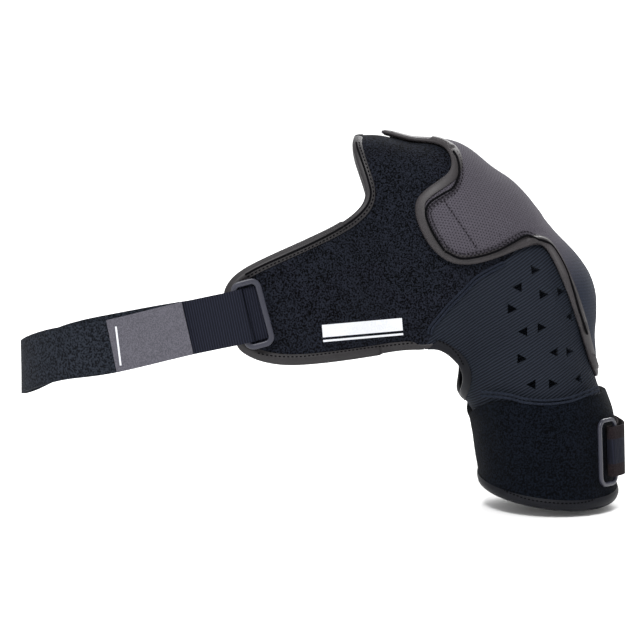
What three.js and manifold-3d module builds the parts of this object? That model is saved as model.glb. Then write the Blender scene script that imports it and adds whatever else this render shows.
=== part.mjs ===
import * as THREE from 'three';
import { mergeVertices } from 'three/addons/utils/BufferGeometryUtils.js';
import Module from 'manifold-3d';

const wasm = await Module();
wasm.setup();

// Brace for the left shoulder, in millimetres, in the form that it keeps when it is worn.
// The wearer faces -Y, +X is the wearer's left and +Z is up. The origin is the top of the
// shoulder, where the brace sits.

// Walls, edge tape and the space between pieces that touch
const panelWall = 2.8;
const flapWall = 2.2;
const cuffWall = 3.6;
const tapeWall = 0.8;
const tapeWidth = 7;
const gap = 0.35;
const tapeGap = 0.45;
const looseGap = 0.8;
const flapGap = 2.6;

// Torso under the brace, an upright oval with a domed top
const torsoHalfWidth = 160;
const torsoHalfDepth = 100;
const torsoInward = 169;
const torsoBack = 10;
const domeDown = 160;
const domeHeight = 190;

// Ridge from the neck to the shoulder
const ridgeRadius = 29;
const ridgeReach = 95;
const ridgeFall = 20;

// Upper arm, from the shoulder down to the hem
const armRadius = 46;
const armDrop = 255;
const armOut = 76;
const armForward = 16;

// Folds of muscle in front of the armpit and behind it
const foldRadius = 12;
const foldSpread = 34;

// How far the rounded parts of the form run into each other
const bodyBlend = 30;
const limbBlend = 22;
const foldBlend = 24;
const chestBlend = 50;

// Outline patterns, drawn as they are seen from in front
const patternReach = 173;
const patternDrop = 162;
const viewDistance = 2600;
const viewRise = 8;
const viewInward = 100;
const viewDown = 129;

// Arm cuff
const cuffTopDown = 185;
const cuffTopSlope = 14;
const cuffHeight = 72;
const cuffHemSlope = 8;
const cuffHemOutDrop = 5;
const cuffLap = 8;

// How far the back's edges are tucked in behind the front's, as a share of the pattern's drop
const backTuck = 0.03;

// Holes in the ribbed panel
const holeWidth = 7.2;
const holeHeight = 7.8;

// Straps and their rings
const strapWidth = 40;
const strapWall = 2;
const strapLift = 0.5;
const strapFall = 64;
const strapDown = 114;
const webWall = 1.4;
const ringLength = 52;
const ringDepth = 23;
const ringBar = 4.3;
const ringWall = 3;
const ringCorner = 7.5;
const tabLength = 60;
const tabWall = 1.6;
const ringInset = 7;
const webSlack = 3;
const webLapUnderTab = 12;
const lapStep = 3;
const tabAlong = 39;
const padLength = 13;
const backLap = 30;
const armTabWidth = 38;
const armTabLength = 42;
const armTabWall = 1.3;
const armRingTurn = 51;
const armRingDown = 224.5;

const { clamp, lerp, degToRad } = THREE.MathUtils;
const at = (x, y, z) => new THREE.Vector3(x, y, z);

// Sections of the ridge and the arm. Columns: out, back and down as shares of the reach, the
// forward set and the drop of their limb, and girth as a share of its radius.
const ridgeSections = [
  { out: -1, down: 0.95, girth: 1 },
  { out: -0.6, down: 0.66, girth: 1 },
  { out: -0.1, down: 1, girth: 1 },
  { out: 0.2, down: 1.95, girth: 0.97 },
];
const armSections = [
  { out: 0.41, down: 0.286, forward: 0, girth: 0.87 },
  { out: 0.724, down: 0.463, forward: 0.15, girth: 1.035 },
  { out: 0.8, down: 0.66, forward: 0.4, girth: 0.94 },
  { out: 0.95, down: 0.83, forward: 0.75, girth: 0.97 },
  { out: 1, down: 1.05, forward: 1.1, girth: 1 },
];
const chestSections = [
  { out: -0.07, down: 0.24, spread: 0.6, girth: 2.5 },
  { out: -0.03, down: 0.39, spread: 0.65, girth: 2.3 },
  { out: 0, down: 0.5, spread: 0.7, girth: 1.8 },
];
const foldSections = [
  { out: -0.25, down: 0.51, spread: 1, girth: 1 },
  { out: 0.5, down: 0.7, spread: 0.35, girth: 1 },
];

const ridge = ridgeSections.map((row) => ({
  centre: at(row.out * ridgeReach, 0, -row.down * ridgeFall - ridgeRadius / 3),
  radius: row.girth * ridgeRadius,
}));
const arm = armSections.map((row) => ({
  centre: at(row.out * armOut, -row.forward * armForward, -row.down * armDrop),
  radius: row.girth * armRadius,
}));
const bothSides = (sections) => [-1, 1].map((side) => sections.map((row) => ({
  centre: at(row.out * armOut, side * row.spread * foldSpread, -row.down * armDrop),
  radius: row.girth * foldRadius,
})));
const chest = bothSides(chestSections);
const folds = bothSides(foldSections);

// The smaller of two distances, rounded where they are alike
function blended(a, b, reach) {
  const near = Math.max(reach - Math.abs(a - b), 0);
  return Math.min(a, b) - near * near / (4 * reach);
}

function torsoDistance(p) {
  const x = (p.x + torsoInward) / torsoHalfWidth;
  const y = (p.y - torsoBack) / torsoHalfDepth;
  const z = Math.max(p.z + domeDown, 0) / domeHeight;
  const size = Math.max(Math.hypot(x, y, z), 1e-6);
  const slope = Math.hypot(x / torsoHalfWidth, y / torsoHalfDepth, z / domeHeight) / size;
  return (size - 1) / Math.max(slope, 1e-6);
}

// Distance to a limb made of round sections, each tapering to the next
function limbDistance(p, limb) {
  let distance = Infinity;
  for (let i = 1; i < limb.length; i += 1) {
    const from = limb[i - 1];
    const to = limb[i];
    const x = to.centre.x - from.centre.x;
    const y = to.centre.y - from.centre.y;
    const z = to.centre.z - from.centre.z;
    const along = (p.x - from.centre.x) * x + (p.y - from.centre.y) * y + (p.z - from.centre.z) * z;
    const share = clamp(along / (x * x + y * y + z * z), 0, 1);
    const away = Math.hypot(
      p.x - from.centre.x - share * x,
      p.y - from.centre.y - share * y,
      p.z - from.centre.z - share * z,
    );
    const reached = away - lerp(from.radius, to.radius, share);
    distance = i === 1 ? reached : blended(distance, reached, foldRadius);
  }
  return distance;
}

// Distance from the skin of the whole form, below zero inside it
function skinDistance(p) {
  let body = torsoDistance(p);
  for (const side of chest) {
    body = blended(body, limbDistance(p, side), chestBlend);
  }
  let limbs = blended(limbDistance(p, ridge), limbDistance(p, arm), limbBlend);
  for (const fold of folds) {
    limbs = blended(limbs, limbDistance(p, fold), foldBlend);
  }
  return blended(body, limbs, bodyBlend);
}

const evenRounds = 16;
const probe = 0.4;
function outward(p) {
  const slope = at(0, 0, 0);
  for (const axis of ['x', 'y', 'z']) {
    const ahead = p.clone();
    const behind = p.clone();
    ahead[axis] += probe;
    behind[axis] -= probe;
    slope[axis] = skinDistance(ahead) - skinDistance(behind);
  }
  return slope.normalize();
}

// Moves a point straight onto the skin
function settle(p) {
  const spot = p.clone();
  for (let i = 0; i < 14; i += 1) {
    spot.addScaledVector(outward(spot), -skinDistance(spot));
  }
  return spot;
}

// Goes out from a core inside the form until it is at a height over the skin
function cast(core, direction, height = 0) {
  const way = direction.clone().normalize();
  const over = (reach) => skinDistance(core.clone().addScaledVector(way, reach)) - height;
  let near = 0;
  let far = 4;
  while (over(far) < 0 && far < 400) {
    near = far;
    far += 4;
  }
  for (let i = 0; i < 18; i += 1) {
    const middle = (near + far) / 2;
    if (over(middle) < 0) {
      near = middle;
    } else {
      far = middle;
    }
  }
  return core.clone().addScaledVector(way, far);
}

// First point of the skin along a line of sight, or the nearest one where the line passes it
function meet(from, way) {
  let best = from.clone();
  let least = Infinity;
  let reach = 0;
  const steps = 400;
  for (let i = 0; i < steps; i += 1) {
    const spot = from.clone().addScaledVector(way, reach);
    const left = skinDistance(spot);
    if (left < least) {
      least = left;
      best = spot;
    }
    if (left < 0.01) {
      return settle(spot);
    }
    reach += Math.max(left * 0.7, 0.2);
    if (reach > 900) {
      break;
    }
  }
  return settle(best);
}

const sightStart = 300;
const rise = degToRad(viewRise);
const aim = at(-viewInward, 0, -viewDown / Math.cos(rise));
const viewer = at(0, -Math.cos(rise), Math.sin(rise)).multiplyScalar(viewDistance).add(aim);
const levelUp = at(0, Math.sin(rise), Math.cos(rise));

// Points of the skin on the line of sight through a point of the front pattern, given as
// shares of its reach and its drop: the near one in front and the far one on the back
function sightThrough(across, up) {
  const drawn = aim.clone();
  drawn.x = across * patternReach;
  drawn.addScaledVector(levelUp, up * patternDrop + viewDown);
  return { drawn, way: drawn.clone().sub(viewer).normalize() };
}
function frontSpot(across, up) {
  const { drawn, way } = sightThrough(across, up);
  return meet(drawn.addScaledVector(way, -sightStart), way);
}
function backSpot(across, up) {
  const { drawn, way } = sightThrough(across, up);
  return meet(drawn.addScaledVector(way, sightStart), way.negate());
}

// Point on the top of the ridge
function crestSpot(across) {
  return meet(at(across * patternReach, 0, domeHeight), at(0, 0, -1));
}

// Even steps along a smooth run through some points, laid on the skin
function run(spots, steps) {
  const curve = new THREE.CatmullRomCurve3(spots, false, 'centripetal');
  curve.arcLengthDivisions = 400;
  return curve.getSpacedPoints(steps).map((spot) => settle(spot));
}

// Turns from one direction to another round a core that moves, and casts each onto the skin
function sweep(stops, steps) {
  const spots = [];
  for (let i = 0; i <= steps; i += 1) {
    const place = i / steps * (stops.length - 1);
    const index = Math.min(Math.floor(place), stops.length - 2);
    const share = place - index;
    const from = stops[index];
    const to = stops[index + 1];
    const core = from.core.clone().lerp(to.core, share);
    const start = from.spot.clone().sub(from.core).normalize();
    const end = to.spot.clone().sub(to.core).normalize();
    const angle = start.angleTo(end);
    const way = angle < 1e-4 ? start : start.clone()
      .multiplyScalar(Math.sin((1 - share) * angle))
      .addScaledVector(end, Math.sin(share * angle));
    spots.push(cast(core, way));
  }
  return spots;
}

// Moves each point of an edge sideways over the skin, to the left of its way along the edge
function insetEdge(edge, width, closed = false) {
  return edge.map((spot, i) => {
    const last = edge.length - 1;
    const before = edge[i > 0 ? i - 1 : (closed ? last : 0)];
    const after = edge[i < last ? i + 1 : (closed ? 0 : last)];
    const normal = outward(spot);
    const sides = [spot.clone().sub(before), after.clone().sub(spot)]
      .filter((way) => way.length() > 1e-6)
      .map((way) => normal.clone().cross(way).normalize());
    const middle = sides.reduce((sum, way) => sum.add(way), at(0, 0, 0)).normalize();
    const reach = width / Math.max(middle.dot(sides[0]), 0.6);
    return settle(spot.clone().addScaledVector(middle, reach));
  });
}

// A closed body from its corners and four-sided faces, with its faces turned out
function closedBody(corners, faces) {
  const positions = corners.flatMap((corner) => [corner.x, corner.y, corner.z]);
  const triangles = [];
  for (const [a, b, c, d] of faces) {
    triangles.push([a, b, c]);
    if (d !== undefined) {
      triangles.push([a, c, d]);
    }
  }
  let volume = 0;
  for (const [a, b, c] of triangles) {
    volume += corners[a].dot(corners[b].clone().cross(corners[c]));
  }
  const order = volume > 0 ? triangles : triangles.map(([a, b, c]) => [a, c, b]);
  const geometry = new THREE.BufferGeometry();
  geometry.setAttribute('position', new THREE.Float32BufferAttribute(positions, 3));
  geometry.setIndex(order.flat());
  geometry.computeVertexNormals();
  return geometry;
}

// A wall of cloth over a sheet: its points on the skin, its faces and its open edges
function clothWall(sheet, lift, wall) {
  const count = sheet.spots.length;
  const normals = sheet.spots.map((spot) => outward(spot));
  const upper = sheet.spots.map((spot, i) => spot.clone().addScaledVector(normals[i], lift + wall));
  const lower = sheet.spots.map((spot, i) => spot.clone().addScaledVector(normals[i], lift));
  const faces = [];
  for (const [a, b, c, d] of sheet.faces) {
    faces.push([a, b, c, d]);
    faces.push([c + count, b + count, a + count]);
    faces.push([d + count, c + count, a + count]);
  }
  for (const edge of sheet.edges) {
    edge.forEach((a, i) => {
      const b = edge[(i + 1) % edge.length];
      faces.push([a + count, b + count, b, a]);
    });
  }
  return closedBody([...upper, ...lower], faces);
}

// A four-sided sheet with a margin of the tape's width all round
function framedSheet(sides) {
  const steps = sides.bottom.length - 1;
  const rows = sides.right.length - 1;
  const loop = [
    ...sides.bottom.slice(0, -1),
    ...sides.right.slice(0, -1),
    ...sides.top.slice(1).reverse(),
    ...sides.left.slice(1).reverse(),
  ];
  const inner = insetEdge(loop, tapeWidth, true);
  const bottom = (i) => inner[i];
  const right = (j) => inner[steps + j];
  const top = (i) => inner[steps + rows + (steps - i)];
  const left = (j) => inner[(2 * steps + rows + (rows - j)) % loop.length];
  const spots = [...loop];
  const index = (i, j) => loop.length + j * (steps + 1) + i;
  for (let j = 0; j <= rows; j += 1) {
    for (let i = 0; i <= steps; i += 1) {
      const u = i / steps;
      const v = j / rows;
      const spot = at(0, 0, 0)
        .addScaledVector(bottom(i), 1 - v)
        .addScaledVector(top(i), v)
        .addScaledVector(left(j), 1 - u)
        .addScaledVector(right(j), u)
        .addScaledVector(bottom(0), -(1 - u) * (1 - v))
        .addScaledVector(bottom(steps), -u * (1 - v))
        .addScaledVector(top(0), -(1 - u) * v)
        .addScaledVector(top(steps), -u * v);
      spots.push(settle(spot));
    }
  }
  const ring = loop.map((spot, k) => {
    if (k < steps) {
      return index(k, 0);
    }
    if (k < steps + rows) {
      return index(steps, k - steps);
    }
    if (k < 2 * steps + rows) {
      return index(2 * steps + rows - k, rows);
    }
    return index(0, 2 * steps + 2 * rows - k);
  });
  const faces = [];
  loop.forEach((spot, k) => {
    const next = (k + 1) % loop.length;
    faces.push([k, next, ring[next], ring[k]]);
  });
  for (let j = 0; j < rows; j += 1) {
    for (let i = 0; i < steps; i += 1) {
      faces.push([index(i, j), index(i + 1, j), index(i + 1, j + 1), index(i, j + 1)]);
    }
  }
  const held = new Set([...loop.keys(), ...ring]);
  const edges = [[...loop.keys()]];
  return { ...evened({ spots, faces, edges }, held, evenRounds), loop, inner };
}

// Point that lies further on in the same direction
const marginPush = 0.8;
const furtherOn = (from, to, reach) => (
  to.clone().addScaledVector(to.clone().sub(from).normalize(), reach)
);

// Evens out a sheet: each point that isn't held goes to the middle of its neighbours, where a
// margin that turns sharply counts as if it was further ahead
function evened(sheet, held, rounds, ahead = new Map()) {
  const neighbours = sheet.spots.map(() => new Set());
  for (const face of sheet.faces) {
    face.forEach((a, k) => {
      const b = face[(k + 1) % face.length];
      neighbours[a].add(b);
      neighbours[b].add(a);
    });
  }
  const spots = [...sheet.spots];
  for (let round = 0; round < rounds; round += 1) {
    spots.forEach((spot, k) => {
      if (!held.has(k)) {
        const near = [...neighbours[k]];
        const sum = near.reduce((total, other) => total.add(ahead.get(other) ?? spots[other]), at(0, 0, 0));
        spots[k] = settle(sum.divideScalar(near.length));
      }
    });
  }
  return { ...sheet, spots };
}

// A sheet from rows of points; a closed one goes all the way round
function rowedSheet(rows, closed) {
  const width = rows[0].length;
  const spots = rows.flat();
  const faces = [];
  const columns = closed ? width : width - 1;
  for (let j = 0; j < rows.length - 1; j += 1) {
    for (let i = 0; i < columns; i += 1) {
      const next = (i + 1) % width;
      faces.push([j * width + i, j * width + next, (j + 1) * width + next, (j + 1) * width + i]);
    }
  }
  const last = (rows.length - 1) * width;
  const first = rows[0].map((spot, i) => i);
  const top = rows[0].map((spot, i) => last + width - 1 - i);
  if (closed) {
    return { spots, faces, edges: [first, top] };
  }
  const right = rows.slice(1, -1).map((row, j) => (j + 1) * width + width - 1);
  const left = rows.slice(1, -1).map((row, j) => (rows.length - 2 - j) * width);
  return { spots, faces, edges: [[...first, ...right, ...top, ...left]] };
}

// Folded tape over the edge of a cloth wall. The edge goes with the cloth on its left, and the
// margin is the line that the tape reaches on both faces.
function edgeTape(edge, margin, lift, wall, closed = false) {
  const last = edge.length - 1;
  const corners = [];
  edge.forEach((spot, i) => {
    const before = edge[i > 0 ? i - 1 : (closed ? last : 0)];
    const after = edge[i < last ? i + 1 : (closed ? 0 : last)];
    const over = outward(spot);
    const overMargin = outward(margin[i]);
    const away = after.clone().sub(before).cross(over).normalize();
    const low = lift - tapeGap - tapeWall;
    const high = lift + wall + tapeGap + tapeWall;
    const place = (out, height) => spot.clone().addScaledVector(away, out).addScaledVector(over, height);
    const inside = (height) => margin[i].clone().addScaledVector(overMargin, height);
    corners.push(
      inside(low),
      place(tapeGap + tapeWall, low),
      place(tapeGap + tapeWall, high),
      inside(high),
      inside(high - tapeWall),
      place(tapeGap, high - tapeWall),
      place(tapeGap, low + tapeWall),
      inside(low + tapeWall),
    );
  });
  const faces = [];
  const size = 8;
  const sections = closed ? edge.length : last;
  const fromMargin = [0, 4];
  for (let i = 0; i < sections; i += 1) {
    const here = i * size;
    const there = ((i + 1) % edge.length) * size;
    for (let k = 0; k < size; k += 1) {
      const next = (k + 1) % size;
      const face = [here + k, here + next, there + next, there + k];
      faces.push(fromMargin.includes(k) ? [face[1], face[2], face[3], face[0]] : face);
    }
  }
  if (!closed) {
    const end = last * size;
    for (const [a, b, c, d] of [[0, 1, 6, 7], [1, 2, 5, 6], [2, 3, 4, 5]]) {
      faces.push([d, c, b, a]);
      faces.push([end + a, end + b, end + c, end + d]);
    }
  }
  return closedBody(corners, faces);
}

// Flat webbing that follows a path of lengths and heights over a surface
function webbing(path, wall, halfWidth, place) {
  const corners = [];
  path.forEach((stop, i) => {
    const before = path[Math.max(i - 1, 0)];
    const after = path[Math.min(i + 1, path.length - 1)];
    const along = new THREE.Vector2(after.along - before.along, after.height - before.height);
    along.normalize();
    for (const side of [wall / 2, -wall / 2]) {
      const length = stop.along - along.y * side;
      const height = stop.height + along.x * side;
      corners.push(place(length, -halfWidth, height), place(length, halfWidth, height));
    }
  });
  const faces = [];
  const order = [0, 1, 3, 2];
  for (let i = 0; i < path.length - 1; i += 1) {
    order.forEach((a, k) => {
      const b = order[(k + 1) % 4];
      faces.push([i * 4 + a, i * 4 + b, i * 4 + 4 + b, i * 4 + 4 + a]);
    });
  }
  const end = (path.length - 1) * 4;
  faces.push([order[3], order[2], order[1], order[0]]);
  faces.push(order.map((a) => end + a));
  return closedBody(corners, faces);
}

// Outline of the front, with the columns of the pattern: across and up
const necklineRows = [
  { across: -0.431, up: 0.02 },
  { across: -0.391, up: -0.114 },
  { across: -0.369, up: -0.186 },
  { across: -0.373, up: -0.229 },
  { across: -0.431, up: -0.3 },
  { across: -0.52, up: -0.362 },
  { across: -0.669, up: -0.438 },
  { across: -0.818, up: -0.51 },
  { across: -0.927, up: -0.571 },
  { across: -0.978, up: -0.619 },
  { across: -1, up: -0.667 },
];
const tipRows = [
  { across: -1, up: -0.667 },
  { across: -0.972, up: -0.8 },
  { across: -0.933, up: -0.933 },
];
const bottomRows = [
  { across: -0.933, up: -0.933 },
  { across: -0.862, up: -0.976 },
  { across: -0.742, up: -1 },
  { across: -0.596, up: -0.993 },
  { across: -0.373, up: -0.962 },
  { across: -0.116, up: -0.929 },
];
const armholeRows = [
  { across: -0.116, up: -0.929 },
  { across: -0.084, up: -0.838 },
  { across: -0.009, up: -0.738 },
  { across: 0.08, up: -0.643 },
  { across: 0.156, up: -0.576 },
  { across: 0.244, up: -0.514 },
  { across: 0.32, up: -0.433 },
];
const armpitRows = [
  { across: -0.116, up: -0.929 },
  { across: -0.084, up: -0.919 },
  { across: -0.027, up: -0.938 },
  { across: 0.031, up: -0.99 },
  { across: 0.062, up: -1.052 },
];
const crestEnd = 0.36;
const crestStart = -0.42;
const seamCorner = 0.01;

const frontSpots = (rows) => rows.map((row) => frontSpot(row.across, row.up));
const neckTop = crestSpot(crestStart);
const armholeTop = crestSpot(crestEnd);

const bottomSteps = 12;
const armholeSteps = 9;
const panelSteps = bottomSteps + armholeSteps;
const crestSteps = 8;
const armpitSteps = 8;
const sleeveRows = 7;
const flapSteps = 8;
const cuffSteps = 32;

const armAxis = (down) => {
  const z = -down;
  for (let i = 1; i < arm.length; i += 1) {
    const from = arm[i - 1].centre;
    const to = arm[i].centre;
    if (z >= to.z || i === arm.length - 1) {
      return from.clone().lerp(to, (z - from.z) / (to.z - from.z));
    }
  }
  return arm[0].centre.clone();
};

// Round the arm: turn is in degrees from the front towards the outside
const armWay = (turn) => at(Math.sin(degToRad(turn)), -Math.cos(degToRad(turn)), 0);
const armSpot = (down, turn, height = 0) => cast(armAxis(down), armWay(turn), height);

// Runs shared by the pieces that meet along them, on the front and on the back
const frontNeck = run([neckTop, ...frontSpots(necklineRows)], panelSteps);
const frontTip = run(frontSpots(tipRows), crestSteps);
const frontBottom = run(frontSpots(bottomRows), bottomSteps);
const frontArmhole = run([...frontSpots(armholeRows), armholeTop], armholeSteps);
const underarm = armSpot(cuffTopDown + cuffTopSlope - 2 * tapeWidth, -90);
const frontArmpit = run([...frontSpots(armpitRows), underarm], armpitSteps);
const crestStops = [crestSpot(-0.2), crestSpot(0), crestSpot(0.2), crestSpot(crestEnd - seamCorner)];
const crest = run([neckTop, ...crestStops], crestSteps);

// The back follows the front's lines of sight, tucked in a little so that it stays behind it
const backSpots = (rows, tuck) => rows.map((row) => backSpot(row.across, row.up + tuck));
const backNeck = run([neckTop, ...backSpots(necklineRows, -backTuck)], panelSteps);
const tipEnds = [backNeck[panelSteps], backSpot(bottomRows[0].across, bottomRows[0].up + backTuck)];
const backTip = run([tipEnds[0], tipEnds[0].clone().lerp(tipEnds[1], 0.5), tipEnds[1]], crestSteps);
const backBottom = run(backSpots(bottomRows, backTuck), bottomSteps);
const backArmhole = run([...backSpots(armholeRows, backTuck), armholeTop], armholeSteps);
const backArmpit = run([...backSpots(armpitRows.slice(0, -1), backTuck), underarm], armpitSteps);

// Draws an edge back from a seam by half the gap, to the left of its way
const drawnBack = (edge, width = gap / 2) => insetEdge(edge, width);
const flip = (edge) => [...edge].reverse();

const frontCrest = flip(drawnBack(flip(crest)));
const backCrest = drawnBack(crest);
const frontSheet = framedSheet({
  bottom: [...frontBottom.slice(0, -1), ...drawnBack(frontArmhole)],
  right: flip(frontCrest),
  top: flip(frontNeck),
  left: flip(frontTip),
});
const backSheet = framedSheet({
  bottom: [...drawnBack(flip(backArmhole)).slice(0, -1), ...flip(backBottom)],
  right: flip(backTip),
  top: backNeck,
  left: flip(backCrest),
});

// Part of a closed loop, from one index to another, with its margin
function stretch(sheet, from, to) {
  const indices = [];
  for (let k = from; k <= to; k += 1) {
    indices.push(k % sheet.loop.length);
  }
  return trimmed(indices.map((k) => sheet.loop[k]), indices.map((k) => sheet.inner[k]));
}

// Shortens a run of tape a little at both ends, where the next piece starts
function trimmed(edge, margin) {
  const shorten = (line) => {
    const last = line.length - 1;
    const copy = [...line];
    const share = (from, to) => 2 * gap / Math.max(edge[from].distanceTo(edge[to]), gap * 4);
    copy[0] = line[0].clone().lerp(line[1], share(0, 1));
    copy[last] = line[last].clone().lerp(line[last - 1], share(last, last - 1));
    return copy;
  };
  return { edge: shorten(edge), margin: shorten(margin) };
}
const frontTape = stretch(
  frontSheet,
  panelSteps + crestSteps,
  2 * panelSteps + 2 * crestSteps + bottomSteps,
);
const backTape = stretch(backSheet, armholeSteps, 2 * panelSteps + crestSteps);

// Ribbed panel round the shoulder, from its lap under the cuff to the armhole and the armpit
const sleeveTop = flip(drawnBack(flip([
  ...flip(frontArmpit),
  ...frontArmhole.slice(1),
  ...flip(backArmhole).slice(1),
  ...backArmpit.slice(1, -1),
]), gap));
const sleeveColumns = sleeveTop.length;
const sleeveMargin = flip(insetEdge(flip(sleeveTop), tapeWidth, true));
const cuffTopAt = (turn) => cuffTopDown + cuffTopSlope * Math.max(0, -Math.sin(degToRad(turn))) ** 8;
const armpitTurn = 62;
const sleeveTurn = (i) => {
  const half = sleeveColumns / 2;
  const place = i <= half ? i : sleeveColumns - i;
  const turned = place <= armpitSteps
    ? place / armpitSteps * armpitTurn
    : armpitTurn + (place - armpitSteps) / (half - armpitSteps) * (180 - armpitTurn);
  return -90 + (i <= half ? turned : -turned);
};
const turns = sleeveTop.map((spot, i) => sleeveTurn(i));
const sleeveFoot = turns.map((turn) => armSpot(cuffTopAt(turn) + cuffLap, turn));
const sleeveLap = turns.map((turn) => armSpot(cuffTopAt(turn) - 1.5, turn));
const sleeveCore = arm[1].centre.clone();
const sleeveMiddle = turns.map((turn, i) => sweep([
  { spot: sleeveLap[i], core: armAxis(cuffTopDown - armRadius / 3) },
  { spot: sleeveMargin[i], core: sleeveCore.clone().lerp(armAxis(cuffTopDown), 0.25) },
], sleeveRows));
const sleeveRing = rowedSheet([
  sleeveFoot,
  ...sleeveMiddle[0].map((spot, j) => sleeveMiddle.map((column) => column[j])),
  sleeveTop,
], true);
const sleeveHeld = [...sleeveRing.spots.keys()].filter((k) => {
  const row = Math.floor(k / sleeveColumns);
  const column = Math.min(k % sleeveColumns, sleeveColumns - k % sleeveColumns);
  return row < 2 || row > sleeveRows || column < armpitSteps - 2;
});
const sleeveAhead = new Map(sleeveTop.map((spot, i) => [
  (sleeveRows + 1) * sleeveColumns + i,
  furtherOn(
    spot,
    sleeveMargin[i],
    marginPush * sleeveMargin[i].distanceTo(sleeveLap[i]) / sleeveRows,
  ),
]));
const sleeveSheet = evened(sleeveRing, new Set(sleeveHeld), evenRounds, sleeveAhead);
const armpitIndices = [];
for (let i = armpitSteps; i >= -armpitSteps; i -= 1) {
  armpitIndices.push((i + sleeveColumns) % sleeveColumns);
}
const armpitTape = trimmed(
  armpitIndices.map((i) => sleeveTop[i]),
  armpitIndices.map((i) => sleeveMargin[i]),
);

// Over-flap, in rows from the neck to the outside of the arm. Columns: the front edge, the
// line over the top and the back edge, each as shares across and up the pattern.
const flapRows = [
  { front: [-0.307, 0.071], over: [-0.293, 0.086], back: [-0.284, 0] },
  { front: [-0.227, 0.043], over: [-0.204, 0.067], back: [-0.222, -0.157] },
  { front: [-0.133, 0.024], over: [-0.116, 0.052], back: [-0.169, -0.252] },
  { front: [-0.044, 0.01], over: [-0.044, 0.038], back: [-0.107, -0.348] },
  { front: [0, -0.043], over: [0.022, 0.005], back: [-0.053, -0.419] },
  { front: [-0.004, -0.114], over: [0.062, -0.014], back: [-0.009, -0.486] },
  { front: [-0.08, -0.176], over: [0.102, -0.038], back: [0.031, -0.543] },
  { front: [-0.133, -0.229], over: [0.138, -0.067], back: [0.071, -0.59] },
  { front: [-0.142, -0.286], over: [0.173, -0.095], back: [0.107, -0.638] },
  { front: [-0.116, -0.371], over: [0.213, -0.129], back: [0.142, -0.681] },
  { front: [-0.062, -0.462], over: [0.249, -0.162], back: [0.178, -0.724] },
  { front: [0.009, -0.521], over: [0.289, -0.205], back: [0.213, -0.762] },
  { front: [0.107, -0.524], over: [0.329, -0.252], back: [0.249, -0.8] },
  { front: [0.222, -0.49], over: [0.387, -0.324], back: [0.289, -0.838] },
  { front: [0.338, -0.45], over: [0.44, -0.4], back: [0.329, -0.871] },
  { front: [0.4, -0.455], over: [0.489, -0.471], back: [0.364, -0.9] },
  { front: [0.444, -0.524], over: [0.524, -0.533], back: [0.396, -0.929] },
  { front: [0.484, -0.614], over: [0.56, -0.6], back: [0.427, -0.952] },
  { front: [0.524, -0.724], over: [0.591, -0.705], back: [0.458, -0.981] },
  { front: [0.564, -0.871], over: [0.604, -0.857], back: [0.489, -1.01] },
  { front: [0.6, -0.995], over: [0.604, -0.976], back: [0.516, -1.038] },
  { front: [0.631, -1.067], over: [0.609, -1.057], back: [0.542, -1.071] },
];
const flapLift = panelWall + flapGap + tapeWall;
const doubled = (spots) => new THREE.CatmullRomCurve3(spots, false, 'centripetal')
  .getPoints(2 * spots.length - 2)
  .map((spot) => settle(spot));
const flapFront = doubled(flapRows.map((row) => frontSpot(...row.front)));
const flapOver = doubled(flapRows.map((row) => frontSpot(...row.over)));
const flapBack = doubled(flapRows.map((row) => backSpot(...row.back)));
const flapLong = flapFront.length;
const flapFrontMargin = insetEdge(flapFront, tapeWidth);
const flapBackMargin = flip(insetEdge(flip(flapBack), tapeWidth));
const flapColumns = flapFront.map((start, i) => {
  const depth = lerp(ridgeRadius, armRadius, i / (flapLong - 1)) * 0.9;
  const core = flapOver[i].clone().addScaledVector(outward(flapOver[i]), -depth);
  const ways = [flapFrontMargin[i], flapOver[i], flapOver[i], flapBackMargin[i]];
  const over = ways.reduce((sum, spot) => sum.add(spot.clone().sub(core).normalize()), at(0, 0, 0));
  return [
    start,
    ...sweep([
      { spot: flapFrontMargin[i], core },
      { spot: core.clone().add(over), core },
      { spot: flapBackMargin[i], core },
    ], flapSteps),
    flapBack[i],
  ];
});
const flapWide = flapColumns[0].length;
const flapAhead = new Map(flapColumns.map((row, j) => [
  j * flapWide + 1,
  furtherOn(row[0], row[1], marginPush * row[1].distanceTo(row[flapWide - 2]) / flapSteps),
]));
const flapSheet = evened(
  rowedSheet(flapColumns, false),
  new Set(flapColumns.flatMap((row, j) => row.map((spot, i) => j * flapWide + i).filter((k, i) => (
    j === 0 || j === flapLong - 1 || i < 2 || i > flapWide - 3
  )))),
  evenRounds,
  flapAhead,
);
const flapFrontTape = trimmed(flapFront, flapFrontMargin);
const flapBackTape = trimmed(flip(flapBack), flip(flapBackMargin));

// Cuff round the upper arm
const cuffLift = panelWall + looseGap;
const cuffOver = cuffLift + cuffWall;
const cuffTurns = Array.from({ length: cuffSteps }, (_, i) => -90 + i * 360 / cuffSteps);
const hemAt = (turn) => cuffTopDown + cuffHeight
  + cuffHemOutDrop * Math.sin(degToRad(turn)) + cuffHemSlope * Math.cos(degToRad(turn));
const cuffRow = (share) => cuffTurns.map((turn) => armSpot(
  lerp(cuffTopAt(turn), hemAt(turn) - tapeWidth, share),
  turn,
));
const hemEdge = cuffTurns.map((turn) => armSpot(hemAt(turn), turn));
const hemMargin = cuffRow(1);
const cuffSheet = rowedSheet([
  hemEdge,
  ...[1, 0.75, 0.5, 0.25, 0.08, 0].map((share) => cuffRow(share)),
], true);

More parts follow.
